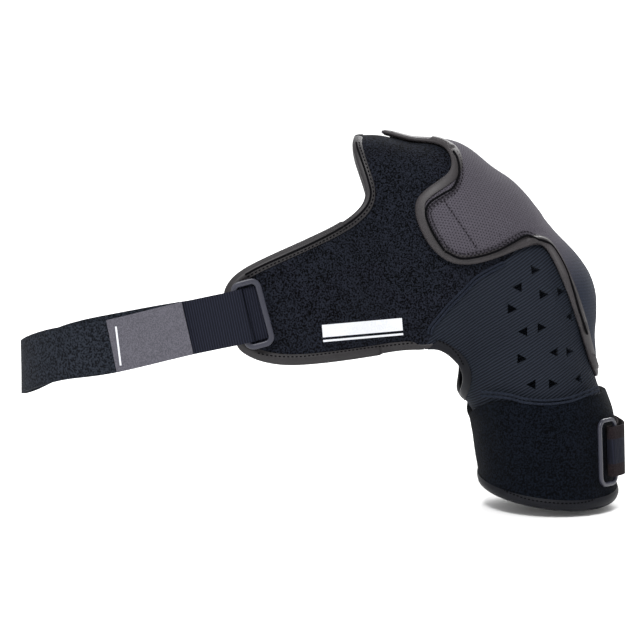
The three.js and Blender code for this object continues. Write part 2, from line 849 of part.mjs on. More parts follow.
// Middle line of the chest strap round the torso. Columns: the turn from straight ahead, in
// degrees towards the wearer's right, and the fall as a share of the strap's fall.
const strapRows = [
  { turn: -26, fall: -0.12 },
  { turn: -10, fall: 0 },
  { turn: 17, fall: 0.16 },
  { turn: 48, fall: 0.42 },
  { turn: 66, fall: 0.56 },
  { turn: 87, fall: 0.83 },
  { turn: 100, fall: 0.9 },
  { turn: 115, fall: 0.77 },
  { turn: 135, fall: 0.67 },
  { turn: 160, fall: 0.56 },
  { turn: 180, fall: 0.5 },
  { turn: 200, fall: 0.4 },
];
const strapLine = run(strapRows.map((row) => {
  const way = at(-Math.sin(degToRad(row.turn)), -Math.cos(degToRad(row.turn)), 0);
  return cast(at(-torsoInward, torsoBack, -strapDown - row.fall * strapFall), way);
}), 160);
const strapStep = strapLine[0].distanceTo(strapLine[1]);
const middleOf = (edge) => edge[Math.floor(edge.length / 2)];
const nearestAlong = (spot) => {
  const ways = strapLine.map((stop) => stop.distanceTo(spot));
  return ways.indexOf(Math.min(...ways)) * strapStep;
};
const frontTipAlong = nearestAlong(middleOf(frontTip));
const backTipAlong = nearestAlong(middleOf(backTip));
const ringAlong = frontTipAlong - ringInset;

// Place over the strap's line: its length from the ring's outer bar, its width and its height
function strapPlace(along, across, height) {
  const place = clamp((along + ringAlong) / strapStep, 0, strapLine.length - 1.001);
  const index = Math.floor(place);
  const share = place - index;
  const spot = strapLine[index].clone().lerp(strapLine[index + 1], share);
  const over = outward(spot);
  const way = strapLine[Math.min(index + 2, strapLine.length - 1)].clone()
    .sub(strapLine[Math.max(index - 1, 0)]);
  const up = way.cross(over).normalize();
  return spot.addScaledVector(up, across).addScaledVector(over, height);
}

// Webbing that comes in under a bar, turns round its edge and goes back over it
function foldRound(under, over, turnAlong) {
  const middle = (under + over) / 2;
  const radius = (over - under) / 2;
  const stops = [];
  for (let k = 0; k <= 6; k += 1) {
    const angle = Math.PI * (k / 6 - 0.5);
    stops.push({ along: turnAlong - radius * Math.cos(angle), height: middle + radius * Math.sin(angle) });
  }
  return stops;
}

const tapeTop = panelWall + gap + tapeWall;
const strapTop = strapLift + strapWall;
const webUnder = tapeTop + gap + webWall / 2;
const ringLow = webUnder + webWall / 2 + gap;
const webOver = ringLow + ringWall + gap + webWall / 2;
const webOnStrap = strapTop + gap + webWall / 2;
const strapStart = ringInset + tapeWall + 2 * gap + 2;
const backEdge = backTipAlong - ringAlong;

const strapPath = [{ along: strapStart, height: strapLift + strapWall / 2 }];
const strapFlatEnd = backEdge - strapWidth / 2;
const strapStops = 40;
for (let i = 1; i <= strapStops; i += 1) {
  strapPath.push({
    along: lerp(strapStart, strapFlatEnd, i / strapStops),
    height: strapLift + strapWall / 2,
  });
}
const strapOverBack = tapeTop + gap + strapWall / 2;
strapPath.push({ along: backEdge - 4, height: strapOverBack });
strapPath.push({ along: backEdge + backLap / 2, height: strapOverBack });
strapPath.push({ along: backEdge + backLap, height: strapOverBack });

const webLap = strapStart + strapWidth * 0.4;
const webPath = [
  { along: webLap, height: webOnStrap },
  { along: strapStart + 4, height: webOnStrap + 0.2 },
  { along: ringInset + 1, height: webUnder },
  { along: 0, height: webUnder },
  ...foldRound(webUnder, webOver, -webSlack),
  { along: ringBar, height: webOver },
  { along: strapStart, height: webOver - webWall },
  { along: webLap - 2 * lapStep, height: webOnStrap + 2 * webWall + gap },
  { along: webLap + lapStep, height: webOnStrap + webWall + gap },
  { along: webLap + 3 * lapStep, height: webOnStrap },
  { along: tabAlong, height: webOnStrap },
  { along: tabAlong + webLapUnderTab, height: webOnStrap },
];
const tabOver = webOnStrap + webWall / 2 + gap + tabWall / 2;
const tabLow = strapTop + gap + tabWall / 2;
const tabPath = [
  { along: tabAlong, height: tabOver },
  { along: tabAlong + webLapUnderTab + lapStep, height: tabOver },
  { along: tabAlong + webLapUnderTab + 3 * lapStep, height: tabLow },
  ...[0.5, 0.6, 0.7, 0.8, 0.9, 1].map((share) => ({
    along: tabAlong + share * tabLength,
    height: tabLow,
  })),
];
const padWall = ringLow - gap - panelWall - gap;
const padFrom = -webSlack - (webOver - webUnder) / 2 - webWall / 2 - gap;
const padPath = [0, 0.5, 1].map((share) => ({
  along: lerp(padFrom, padFrom - padLength, share),
  height: panelWall + gap + padWall / 2,
}));

// Place over the cuff: length round it from the middle of the ring, height along the arm
const cuffGirth = armRadius + cuffOver;
function cuffPlace(along, across, height) {
  const turn = armRingTurn + THREE.MathUtils.radToDeg(along / cuffGirth);
  return armSpot(armRingDown - across, turn, cuffOver + height);
}

// Oblong ring with a slot, set flat with its length along one way and its depth along another
function ringBody(centre, lengthWay, depthWay) {
  const oblong = (shape, length, depth, corner) => {
    const x = depth / 2;
    const y = length / 2;
    shape.moveTo(-x + corner, -y);
    shape.lineTo(x - corner, -y);
    shape.absarc(x - corner, -y + corner, corner, -Math.PI / 2, 0);
    shape.lineTo(x, y - corner);
    shape.absarc(x - corner, y - corner, corner, 0, Math.PI / 2);
    shape.lineTo(-x + corner, y);
    shape.absarc(-x + corner, y - corner, corner, Math.PI / 2, Math.PI);
    shape.lineTo(-x, -y + corner);
    shape.absarc(-x + corner, -y + corner, corner, Math.PI, Math.PI * 1.5);
    return shape;
  };
  const bevel = ringWall / 4;
  const shape = oblong(new THREE.Shape(), ringLength - 2 * bevel, ringDepth - 2 * bevel, ringCorner);
  const slot = oblong(
    new THREE.Path(),
    ringLength - 2 * ringBar + 2 * bevel,
    ringDepth - 2 * ringBar + 2 * bevel,
    ringCorner - ringBar / 2,
  );
  shape.holes.push(slot);
  const geometry = new THREE.ExtrudeGeometry(shape, {
    depth: ringWall - 2 * bevel,
    bevelThickness: bevel,
    bevelSize: bevel,
    bevelSegments: 1,
    curveSegments: 2,
  });
  geometry.translate(0, 0, bevel - ringWall / 2);
  const y = lengthWay.clone().normalize();
  const z = depthWay.clone().cross(y).normalize();
  const x = y.clone().cross(z);
  geometry.applyMatrix4(new THREE.Matrix4().makeBasis(x, y, z).setPosition(centre));
  return geometry;
}

function toSolid(geometry) {
  const plain = geometry.clone();
  for (const name of Object.keys(plain.attributes)) {
    if (name !== 'position') {
      plain.deleteAttribute(name);
    }
  }
  const merged = mergeVertices(plain, 1e-4);
  return new wasm.Manifold(new wasm.Mesh({
    numProp: 3,
    vertProperties: new Float32Array(merged.attributes.position.array),
    triVerts: new Uint32Array(merged.index.array),
  }));
}

function fromSolid(solid) {
  const mesh = solid.getMesh();
  const geometry = new THREE.BufferGeometry();
  geometry.setAttribute('position', new THREE.BufferAttribute(new Float32Array(mesh.vertProperties), 3));
  geometry.setIndex(new THREE.BufferAttribute(new Uint32Array(mesh.triVerts), 1));
  geometry.computeVertexNormals();
  return geometry;
}

// Three-sided holes in the ribbed panel, pointing outwards along the arm (1) or inwards (-1)
const holeRows = [
  { across: 0.378, up: -0.562, point: 1 },
  { across: 0.298, up: -0.643, point: -1 },
  { across: 0.416, up: -0.676, point: 1 },
  { across: 0.493, up: -0.662, point: 1 },
  { across: 0.28, up: -0.743, point: 1 },
  { across: 0.524, up: -0.779, point: -1 },
  { across: 0.323, up: -0.848, point: -1 },
  { across: 0.407, up: -0.83, point: 1 },
  { across: 0.323, up: -0.979, point: 1 },
  { across: 0.455, up: -0.949, point: -1 },
  { across: 0.524, up: -0.948, point: 1 },
  { across: 0.36, up: -1.101, point: -1 },
  { across: 0.456, up: -1.099, point: 1 },
  { across: 0.56, up: -1.078, point: -1 },
];
function holeCutter(row) {
  const spot = frontSpot(row.across, row.up);
  const out = outward(spot);
  const side = at(0, 0, 1).cross(out).normalize();
  const up = out.clone().cross(side);
  const shape = new THREE.Shape([
    new THREE.Vector2(row.point * holeWidth / 2, 0),
    new THREE.Vector2(-row.point * holeWidth / 2, holeHeight / 2),
    new THREE.Vector2(-row.point * holeWidth / 2, -holeHeight / 2),
  ]);
  const geometry = new THREE.ExtrudeGeometry(shape, { depth: panelWall * 5, bevelEnabled: false });
  geometry.translate(0, 0, -panelWall * 2);
  geometry.applyMatrix4(new THREE.Matrix4().makeBasis(side, up, out).setPosition(spot));
  return toSolid(geometry);
}
function ribbedPanel() {
  let solid = toSolid(clothWall(sleeveSheet, 0, panelWall));
  for (const row of holeRows) {
    solid = solid.subtract(holeCutter(row));
  }
  return fromSolid(solid);
}

const plush = '#14161c';
const ribbed = '#1f232b';
const mesh = '#5f5a61';
const tape = '#504a4d';
const webbingBlack = '#1b1d26';
const plastic = '#67656c';

const parts = new THREE.Group();
function addPiece(name, geometry, colour, roughness) {
  const material = new THREE.MeshStandardMaterial({ color: colour, roughness, metalness: 0 });
  const piece = new THREE.Mesh(geometry, material);
  piece.name = name;
  parts.add(piece);
}
const tapePiece = (name, line, lift, wall, closed) => {
  addPiece(name, edgeTape(line.edge, line.margin, lift, wall, closed), tape, 0.8);
};

addPiece('front_panel', clothWall(frontSheet, 0, panelWall), plush, 0.95);
addPiece('back_panel', clothWall(backSheet, 0, panelWall), plush, 0.95);
addPiece('ribbed_shoulder_panel', ribbedPanel(), ribbed, 0.9);
addPiece('arm_cuff', clothWall(cuffSheet, cuffLift, cuffWall), plush, 0.95);
addPiece('over_flap', clothWall(flapSheet, flapLift, flapWall), mesh, 0.85);
tapePiece('front_edge_tape', frontTape, 0, panelWall);
tapePiece('back_edge_tape', backTape, 0, panelWall);
tapePiece('armpit_edge_tape', armpitTape, 0, panelWall);
tapePiece('flap_front_tape', flapFrontTape, flapLift, flapWall);
tapePiece('flap_back_tape', flapBackTape, flapLift, flapWall);
tapePiece('cuff_hem_tape', { edge: hemEdge, margin: hemMargin }, cuffLift, cuffWall, true);
addPiece('chest_strap', webbing(strapPath, strapWall, strapWidth / 2, strapPlace), plush, 0.95);
addPiece('elastic_web', webbing(webPath, webWall, strapWidth / 2, strapPlace), webbingBlack, 0.8);
addPiece('hook_tab', webbing(tabPath, tabWall, strapWidth / 2, strapPlace), mesh, 0.8);
addPiece('hook_pad', webbing(padPath, padWall, strapWidth / 2, strapPlace), webbingBlack, 0.8);

const ringMiddle = -(ringDepth - ringBar) / 2;
const ringHeight = ringLow + ringWall / 2;
const ringSpot = strapPlace(ringMiddle, 0, ringHeight);
addPiece('chest_ring', ringBody(
  ringSpot,
  strapPlace(ringMiddle, 5, ringHeight).sub(strapPlace(ringMiddle, -5, ringHeight)),
  strapPlace(ringMiddle + 5, 0, ringHeight).sub(strapPlace(ringMiddle - 5, 0, ringHeight)),
), plastic, 0.35);

// The ring on the arm lies over the hem's tape, with its back bar in the folded tab
const barShift = (ringDepth - ringBar) / 2;
const barDrop = barShift ** 2 / (2 * cuffGirth);
const armRingHeight = tapeWall + 2.6 * looseGap + ringWall / 2;
const armRingUp = cuffPlace(0, armTabWidth / 2, 0)
  .sub(cuffPlace(0, -armTabWidth / 2, 0))
  .normalize();
const armRingBack = cuffPlace(3, 0, 0).sub(cuffPlace(-3, 0, 0)).normalize();
addPiece(
  'arm_ring',
  ringBody(cuffPlace(0, 0, armRingHeight), armRingUp, armRingBack),
  plastic,
  0.4,
);

// The tab lies in the ring's own plane at the bar, and on the cuff beyond it
const tabSettle = 14;
function tabPlace(along, across, height) {
  const share = THREE.MathUtils.smoothstep(along, barShift + ringBar, barShift + ringBar + tabSettle);
  const flat = cuffPlace(0, 0, height - barDrop)
    .addScaledVector(armRingBack, along)
    .addScaledVector(armRingUp, across);
  return flat.lerp(cuffPlace(along, across, height), share);
}

const armWebUnder = looseGap + 2 * gap + armTabWall / 2;
const armWebOver = armRingHeight + barDrop + (ringWall + armTabWall) / 2 + gap;
const tabTurn = barShift - ringBar / 2 - gap - webWall;
const armTabPath = [];
const armTabStops = 8;
for (let i = 0; i <= armTabStops; i += 1) {
  armTabPath.push({
    along: lerp(barShift + armTabLength, tabTurn + 2, i / armTabStops),
    height: armWebUnder,
  });
}
armTabPath.push(...foldRound(armWebUnder, armWebOver, tabTurn));
for (let i = 0; i <= armTabStops; i += 1) {
  const share = i / armTabStops;
  armTabPath.push({
    along: lerp(tabTurn + 2, barShift + armTabLength, share),
    height: lerp(armWebOver, armWebUnder + armTabWall + gap, clamp((share - 0.3) * 2.2, 0, 1)),
  });
}
addPiece('arm_tab', webbing(armTabPath, armTabWall, armTabWidth / 2, tabPlace), webbingBlack, 0.8);

export default parts;
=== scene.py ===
import math

import bpy
import numpy as np
from bpy.props import FloatProperty, FloatVectorProperty, PointerProperty
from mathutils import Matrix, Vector


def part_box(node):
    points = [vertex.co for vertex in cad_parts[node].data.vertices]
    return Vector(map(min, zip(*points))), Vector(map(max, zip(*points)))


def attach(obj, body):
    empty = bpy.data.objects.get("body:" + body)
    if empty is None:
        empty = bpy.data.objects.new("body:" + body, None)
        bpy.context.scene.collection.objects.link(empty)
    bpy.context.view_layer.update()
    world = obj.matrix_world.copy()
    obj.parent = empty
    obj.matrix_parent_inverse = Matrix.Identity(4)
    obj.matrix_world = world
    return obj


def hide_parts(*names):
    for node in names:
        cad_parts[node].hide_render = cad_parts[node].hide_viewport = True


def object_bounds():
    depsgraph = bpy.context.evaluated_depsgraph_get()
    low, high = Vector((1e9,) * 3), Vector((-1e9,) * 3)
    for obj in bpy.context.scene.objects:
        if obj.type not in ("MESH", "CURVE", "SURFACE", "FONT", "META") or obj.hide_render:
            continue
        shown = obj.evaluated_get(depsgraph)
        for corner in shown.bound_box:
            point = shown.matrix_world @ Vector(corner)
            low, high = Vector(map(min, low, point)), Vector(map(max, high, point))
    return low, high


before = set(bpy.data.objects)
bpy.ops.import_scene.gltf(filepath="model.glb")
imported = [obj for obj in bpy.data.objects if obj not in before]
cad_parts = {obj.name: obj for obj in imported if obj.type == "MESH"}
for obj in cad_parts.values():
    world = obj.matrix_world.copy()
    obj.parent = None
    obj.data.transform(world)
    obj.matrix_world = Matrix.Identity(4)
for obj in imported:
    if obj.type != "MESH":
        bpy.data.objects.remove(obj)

bl_info = {
    "name": "Shoulder brace",
    "version": (1, 0, 0),
    "blender": (4, 5, 0),
    "location": "View3D > Sidebar > Brace",
    "description": "Dresses the shoulder brace: panels, knit, flap, cuff, straps and stage",
    "category": "Object",
}

CAD_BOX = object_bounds()
BODY = "root"
MM = 0.001


def linear(text):
    """An sRGB hex value as linear red, green and blue."""
    values = [int(text[i : i + 2], 16) / 255 for i in (1, 3, 5)]
    return tuple(v / 12.92 if v <= 0.04045 else ((v + 0.055) / 1.055) ** 2.4 for v in values)


# The skin under the brace, in millimetres: an oval torso, the chest beside the arm, the ridge to
# the neck, the upper arm, and the folds of the armpit. Every cloth wall lies at a height over it.
TORSO_MIDDLE = np.array([-169.0, 10.0, -160.0])
TORSO_REACH = np.array([160.0, 100.0, 190.0])
NECK_OUT, RIDGE_DROP, RIDGE_GIRTH = 95, 20, 29
ARM_OUT, ARM_FORWARD, ARM_LENGTH, ARM_GIRTH = 76, 16, 255.0, 46
CHEST_DEPTH, CHEST_GIRTH = 34, 12
# How far each pair of forms is filled where it meets
LIMB_FILLET, CHEST_FILLET, SHOULDER_FILLET, FOLD_FILLET, BODY_FILLET = 12, 50, 22, 24, 30
# Sections as shares of those sizes. The ridge: out, down, girth
RIDGE = [(-1, 0.95, 1), (-0.6, 0.66, 1), (-0.1, 1, 1), (0.2, 1.95, 0.97)]
# The arm: out, down, forward, girth
ARM = [
    (0.41, 0.286, 0, 0.87),
    (0.724, 0.463, 0.15, 1.035),
    (0.8, 0.66, 0.4, 0.94),
    (0.95, 0.83, 0.75, 0.97),
    (1, 1.05, 1.1, 1),
]
# The chest and the armpit's folds: out, down, depth, girth
CHEST = [(-0.07, 0.24, 0.6, 2.5), (-0.03, 0.39, 0.65, 2.3), (0, 0.5, 0.7, 1.8)]
FOLD = [(-0.25, 0.51, 1, 1), (0.5, 0.7, 0.35, 1)]
# Heights of the outer faces over the skin; a tape stands as much higher as the panel's does
PANEL_TOP, TAPE_TOP, CUFF_TOP, FLAP_TOP = 2.8, 4.7, 7.2, 8.4
TAPE_RISE = TAPE_TOP - PANEL_TOP


def blended(a, b, reach):
    """The nearer of two distances, with a fillet where they meet."""
    return np.minimum(a, b) - np.maximum(reach - np.abs(a - b), 0) ** 2 / (4 * reach)


def limb_distance(spots, sections):
    """Distance to a chain of tapered rounds, each section a centre and a radius."""
    found = None
    for (a, ra), (b, rb) in zip(sections, sections[1:]):
        way = b - a
        share = np.clip((spots - a) @ way / (way @ way), 0, 1)
        here = np.linalg.norm(spots - a - share[:, None] * way, axis=1) - (ra + (rb - ra) * share)
        found = here if found is None else blended(found, here, LIMB_FILLET)
    return found


def side_sections(rows, side):
    """Sections of a fold or of the chest, in front of the arm or behind it."""
    return [
        (
            np.array([out * ARM_OUT, side * depth * CHEST_DEPTH, -down * ARM_LENGTH]),
            girth * CHEST_GIRTH,
        )
        for out, down, depth, girth in rows
    ]


RIDGE_SECTIONS = [
    (np.array([out * NECK_OUT, 0, -down * RIDGE_DROP - RIDGE_GIRTH / 3]), girth * RIDGE_GIRTH)
    for out, down, girth in RIDGE
]
ARM_SECTIONS = [
    (np.array([out * ARM_OUT, -forward * ARM_FORWARD, -down * ARM_LENGTH]), girth * ARM_GIRTH)
    for out, down, forward, girth in ARM
]


def skin_distance(spots):
    """Signed distance to the skin, in millimetres."""
    near = spots - TORSO_MIDDLE
    near[:, 2] = np.maximum(near[:, 2], 0)
    share = near / TORSO_REACH
    size = np.maximum(np.linalg.norm(share, axis=1), 1e-6)
    body = (size - 1) / (np.linalg.norm(share / TORSO_REACH, axis=1) / size)
    for side in (-1, 1):
        chest = limb_distance(spots, side_sections(CHEST, side))
        body = blended(body, chest, CHEST_FILLET)
    ridge = limb_distance(spots, RIDGE_SECTIONS)
    limbs = blended(ridge, limb_distance(spots, ARM_SECTIONS), SHOULDER_FILLET)
    for side in (-1, 1):
        fold = limb_distance(spots, side_sections(FOLD, side))
        limbs = blended(limbs, fold, FOLD_FILLET)
    return blended(body, limbs, BODY_FILLET)


def skin_normal(spots):
    """Outward direction of the skin at each spot, from its distance a little to each side."""
    step = 0.4
    slope = np.stack(
        [
            skin_distance(spots + step * axis) - skin_distance(spots - step * axis)
            for axis in np.eye(3)
        ],
        axis=1,
    )
    return slope / np.maximum(np.linalg.norm(slope, axis=1), 1e-9)[:, None]


def settle(spots, height):
    """Moves each spot straight out or in until it lies at its height over the skin."""
    for _ in range(3):
        off = skin_distance(spots) - height
        spots = spots - off[:, None] * skin_normal(spots)
    return spots


# The camera stands 2.6 m away, eight degrees above the brace, and its picture is 492.8 mm wide.
# It aims at a spot that it sees 129 mm under the shoulder's top.
RISE = math.radians(8)
AIM_DROP = 129
AIM = np.array([-100.0, 0.0, -AIM_DROP / math.cos(RISE)])
VIEW_AWAY = 2600.0
VIEW_WIDTH = 492.8
VIEWER = AIM + VIEW_AWAY * np.array([0, -math.cos(RISE), math.sin(RISE)])
LEVEL_UP = np.array([0, math.sin(RISE), math.cos(RISE)])
# Seams and stitch rows are drawn on a grid in the front view; its origin is the shoulder's top
DRAWN_STEP = 0.77
DRAWN_ORIGIN = (450, 152)
# A sight line starts this far in front of the brace, and goes on by a share of what is left
SIGHT_START, SIGHT_STEPS, SIGHT_SHARE = 250, 70, 0.8


def sight_lines(drawn):
    """Where the sight lines through drawn spots start, in front of the brace, and their ways."""
    drawn = np.array(drawn, float)
    across = (drawn[:, 0] - DRAWN_ORIGIN[0]) * DRAWN_STEP
    up = (DRAWN_ORIGIN[1] - drawn[:, 1]) * DRAWN_STEP + AIM_DROP
    seen = np.zeros((len(drawn), 3)) + AIM
    seen[:, 0] = across
    seen = seen + up[:, None] * LEVEL_UP
    way = seen - VIEWER
    way /= np.linalg.norm(way, axis=1)[:, None]
    return seen - SIGHT_START * way, way


def cast(drawn, height):
    """Spots where sight lines through a drawn row meet the cloth at a height over the skin."""
    spots, way = sight_lines(drawn)
    for _ in range(SIGHT_STEPS):
        spots = spots + way * (SIGHT_SHARE * (skin_distance(spots) - height))[:, None]
    return spots


def cast_on(drawn, obj, height):
    """The same on a finished piece: spots a height off its own surface, where it is met."""
    found = []
    for start, way in zip(*sight_lines(drawn)):
        met, spot, out, _ = obj.ray_cast(Vector(start * MM), Vector(way))
        if met:
            found.append(np.array(spot) / MM + height * np.array(out))
    return np.array(found)


def smooth_row(row, spacing):
    """Evenly spaced spots on a smooth run through the given ones."""
    parts = 16
    row = np.array(row, float)
    ends = np.vstack([2 * row[0] - row[1], row, 2 * row[-1] - row[-2]])
    fine = []
    for p0, p1, p2, p3 in zip(ends, ends[1:], ends[2:], ends[3:]):
        t = np.linspace(0, 1, parts, endpoint=False)[:, None]
        square, cube = 2 * p0 - 5 * p1 + 4 * p2 - p3, 3 * p1 - p0 - 3 * p2 + p3
        fine.append(0.5 * (2 * p1 + (p2 - p0) * t + square * t**2 + cube * t**3))
    fine = np.vstack([*fine, row[-1:]])
    length = np.concatenate([[0], np.cumsum(np.linalg.norm(np.diff(fine, axis=0), axis=1))])
    count = max(int(round(length[-1] / spacing)), 2)
    at = np.linspace(0, length[-1], count + 1)
    return np.stack([np.interp(at, length, fine[:, k]) for k in range(fine.shape[1])], axis=1)


# Materials


def add(tree, kind, props=None, inputs=None):
    """Adds a node, sets its properties, and sets or links its inputs."""
    made = tree.nodes.new(kind)
    for name, value in (props or {}).items():
        setattr(made, name, value)
    for name, value in (inputs or {}).items():
        if isinstance(value, bpy.types.NodeSocket):
            tree.links.new(value, made.inputs[name])
        else:
            made.inputs[name].default_value = value
    return made


def new_material(name):
    """An empty material with its surface shader, and the shader itself."""
    material = bpy.data.materials.new(name)
    material.use_nodes = True
    tree = material.node_tree
    tree.nodes.clear()
    shader = tree.nodes.new("ShaderNodeBsdfPrincipled")
    out = tree.nodes.new("ShaderNodeOutputMaterial")
    tree.links.new(shader.outputs[0], out.inputs[0])
    return material, tree, shader


def rgba(colour, light=1.0):
    return (*[min(c * light, 1) for c in colour], 1)


def two_tone(tree, value, low, high, colour, contrast):
    """The colour, darker where the value is low and lighter where it is high."""
    tone = add(
        tree, "ShaderNodeMapRange", inputs={"Value": value, "From Min": low, "From Max": high}
    )
    mixed = add(
        tree,
        "ShaderNodeMix",
        {"data_type": "RGBA"},
        {"Factor": tone.outputs[0], 6: rgba(colour, 1 - contrast), 7: rgba(colour, 1 + contrast)},
    )
    return mixed.outputs[2]


def cover(tree, shader, colour, height, relief, depth, values):
    """Gives the shader its colour, a relief of that depth from a height, and its other values."""
    bump = add(
        tree, "ShaderNodeBump", inputs={"Height": height, "Strength": relief, "Distance": depth}
    )
    tree.links.new(colour, shader.inputs["Base Color"])
    tree.links.new(bump.outputs[0], shader.inputs["Normal"])
    for name, value in values.items():
        shader.inputs[name].default_value = value


def plush(name, colour, grain=1.25, contrast=0.95, relief=0.7):
    """Brushed loop cloth on neoprene: loops give it a matt, speckled face, brushed a little this
    way and that over a centimetre or two. Real loops are about 0.9 mm across and are drawn at
    1.25 mm, so that they show."""
    brushed_patch = 14 * MM
    material, tree, shader = new_material(name)
    place = add(tree, "ShaderNodeTexCoord").outputs["Object"]
    loops = add(
        tree,
        "ShaderNodeTexNoise",
        inputs={"Vector": place, "Scale": 1 / (grain * MM), "Detail": 3.0},
    )
    mottle = add(
        tree,
        "ShaderNodeTexNoise",
        inputs={"Vector": place, "Scale": 1 / brushed_patch, "Detail": 2.0},
    )
    both = add(
        tree,
        "ShaderNodeMath",
        {"operation": "MULTIPLY_ADD"},
        {0: mottle.outputs["Fac"], 1: 0.1, 2: loops.outputs["Fac"]},
    )
    face = two_tone(tree, both.outputs[0], 0.45, 0.65, colour, contrast)
    matt = {"Roughness": 0.92, "Specular IOR Level": 0.04}
    brushed = {"Sheen Weight": 0.015, "Sheen Roughness": 0.5}
    cover(tree, shader, face, loops.outputs["Fac"], relief, 0.5 * MM, matt | brushed)
    return material


def tape(name, colour, gloss=0.3):
    """Folded nylon binding: a close weave of about 0.8 mm, with a soft gloss along its roll and
    slightly worn patches."""
    weave_size, worn_patch = 0.8 * MM, 7 * MM
    material, tree, shader = new_material(name)
    place = add(tree, "ShaderNodeTexCoord").outputs["Object"]
    weave = add(
        tree, "ShaderNodeTexNoise", inputs={"Vector": place, "Scale": 1 / weave_size, "Detail": 2.0}
    )
    patchy = add(
        tree, "ShaderNodeTexNoise", inputs={"Vector": place, "Scale": 1 / worn_patch, "Detail": 2.0}
    )
    both = add(
        tree,
        "ShaderNodeMath",
        {"operation": "MULTIPLY_ADD"},
        {0: patchy.outputs["Fac"], 1: 0.5, 2: weave.outputs["Fac"]},
    )
    face = two_tone(tree, both.outputs[0], 0.5, 1.0, colour, 0.28)
    values = {"Roughness": 0.5, "Specular IOR Level": gloss}
    cover(tree, shader, face, weave.outputs["Fac"], 0.3, 0.2 * MM, values)
    return material


def wave(tree, vector, way, pitch):
    """A cosine of that pitch along one direction of a coordinate."""
    turn = [2 * math.pi / pitch * c for c in way]
    along = add(tree, "ShaderNodeVectorMath", {"operation": "DOT_PRODUCT"}, {0: vector, 1: turn})
    cosine = add(tree, "ShaderNodeMath", {"operation": "COSINE"}, {0: along.outputs["Value"]})
    return cosine.outputs[0]


def ribbed(name, colour, way, pitch, relief, contrast, wobble=0.25):
    """Knit or webbing with raised ribs; the ribs' pitch is the real one. The yarn's grain roughens
    them, and where the cloth is slack they stray by a share of their pitch."""
    slack, yarn = 9 * MM, 0.7 * MM
    material, tree, shader = new_material(name)
    place = add(tree, "ShaderNodeTexCoord").outputs["Object"]
    loose = add(
        tree, "ShaderNodeTexNoise", inputs={"Vector": place, "Scale": 1 / slack, "Detail": 1.0}
    )
    shift = add(
        tree,
        "ShaderNodeVectorMath",
        {"operation": "SCALE"},
        {0: loose.outputs["Color"], "Scale": wobble * pitch},
    )
    moved = add(tree, "ShaderNodeVectorMath", {"operation": "ADD"}, {0: place, 1: shift.outputs[0]})
    ribs = wave(tree, moved.outputs[0], way, pitch)
    grain = add(
        tree, "ShaderNodeTexNoise", inputs={"Vector": place, "Scale": 1 / yarn, "Detail": 2.0}
    )
    height = add(
        tree,
        "ShaderNodeMath",
        {"operation": "MULTIPLY_ADD"},
        {0: grain.outputs["Fac"], 1: 0.9, 2: ribs},
    )
    face = two_tone(tree, height.outputs[0], -0.6, 1.5, colour, contrast)
    values = {"Roughness": 0.8, "Specular IOR Level": 0.1}
    cover(tree, shader, face, height.outputs[0], relief, 0.3 * MM, values)
    return material


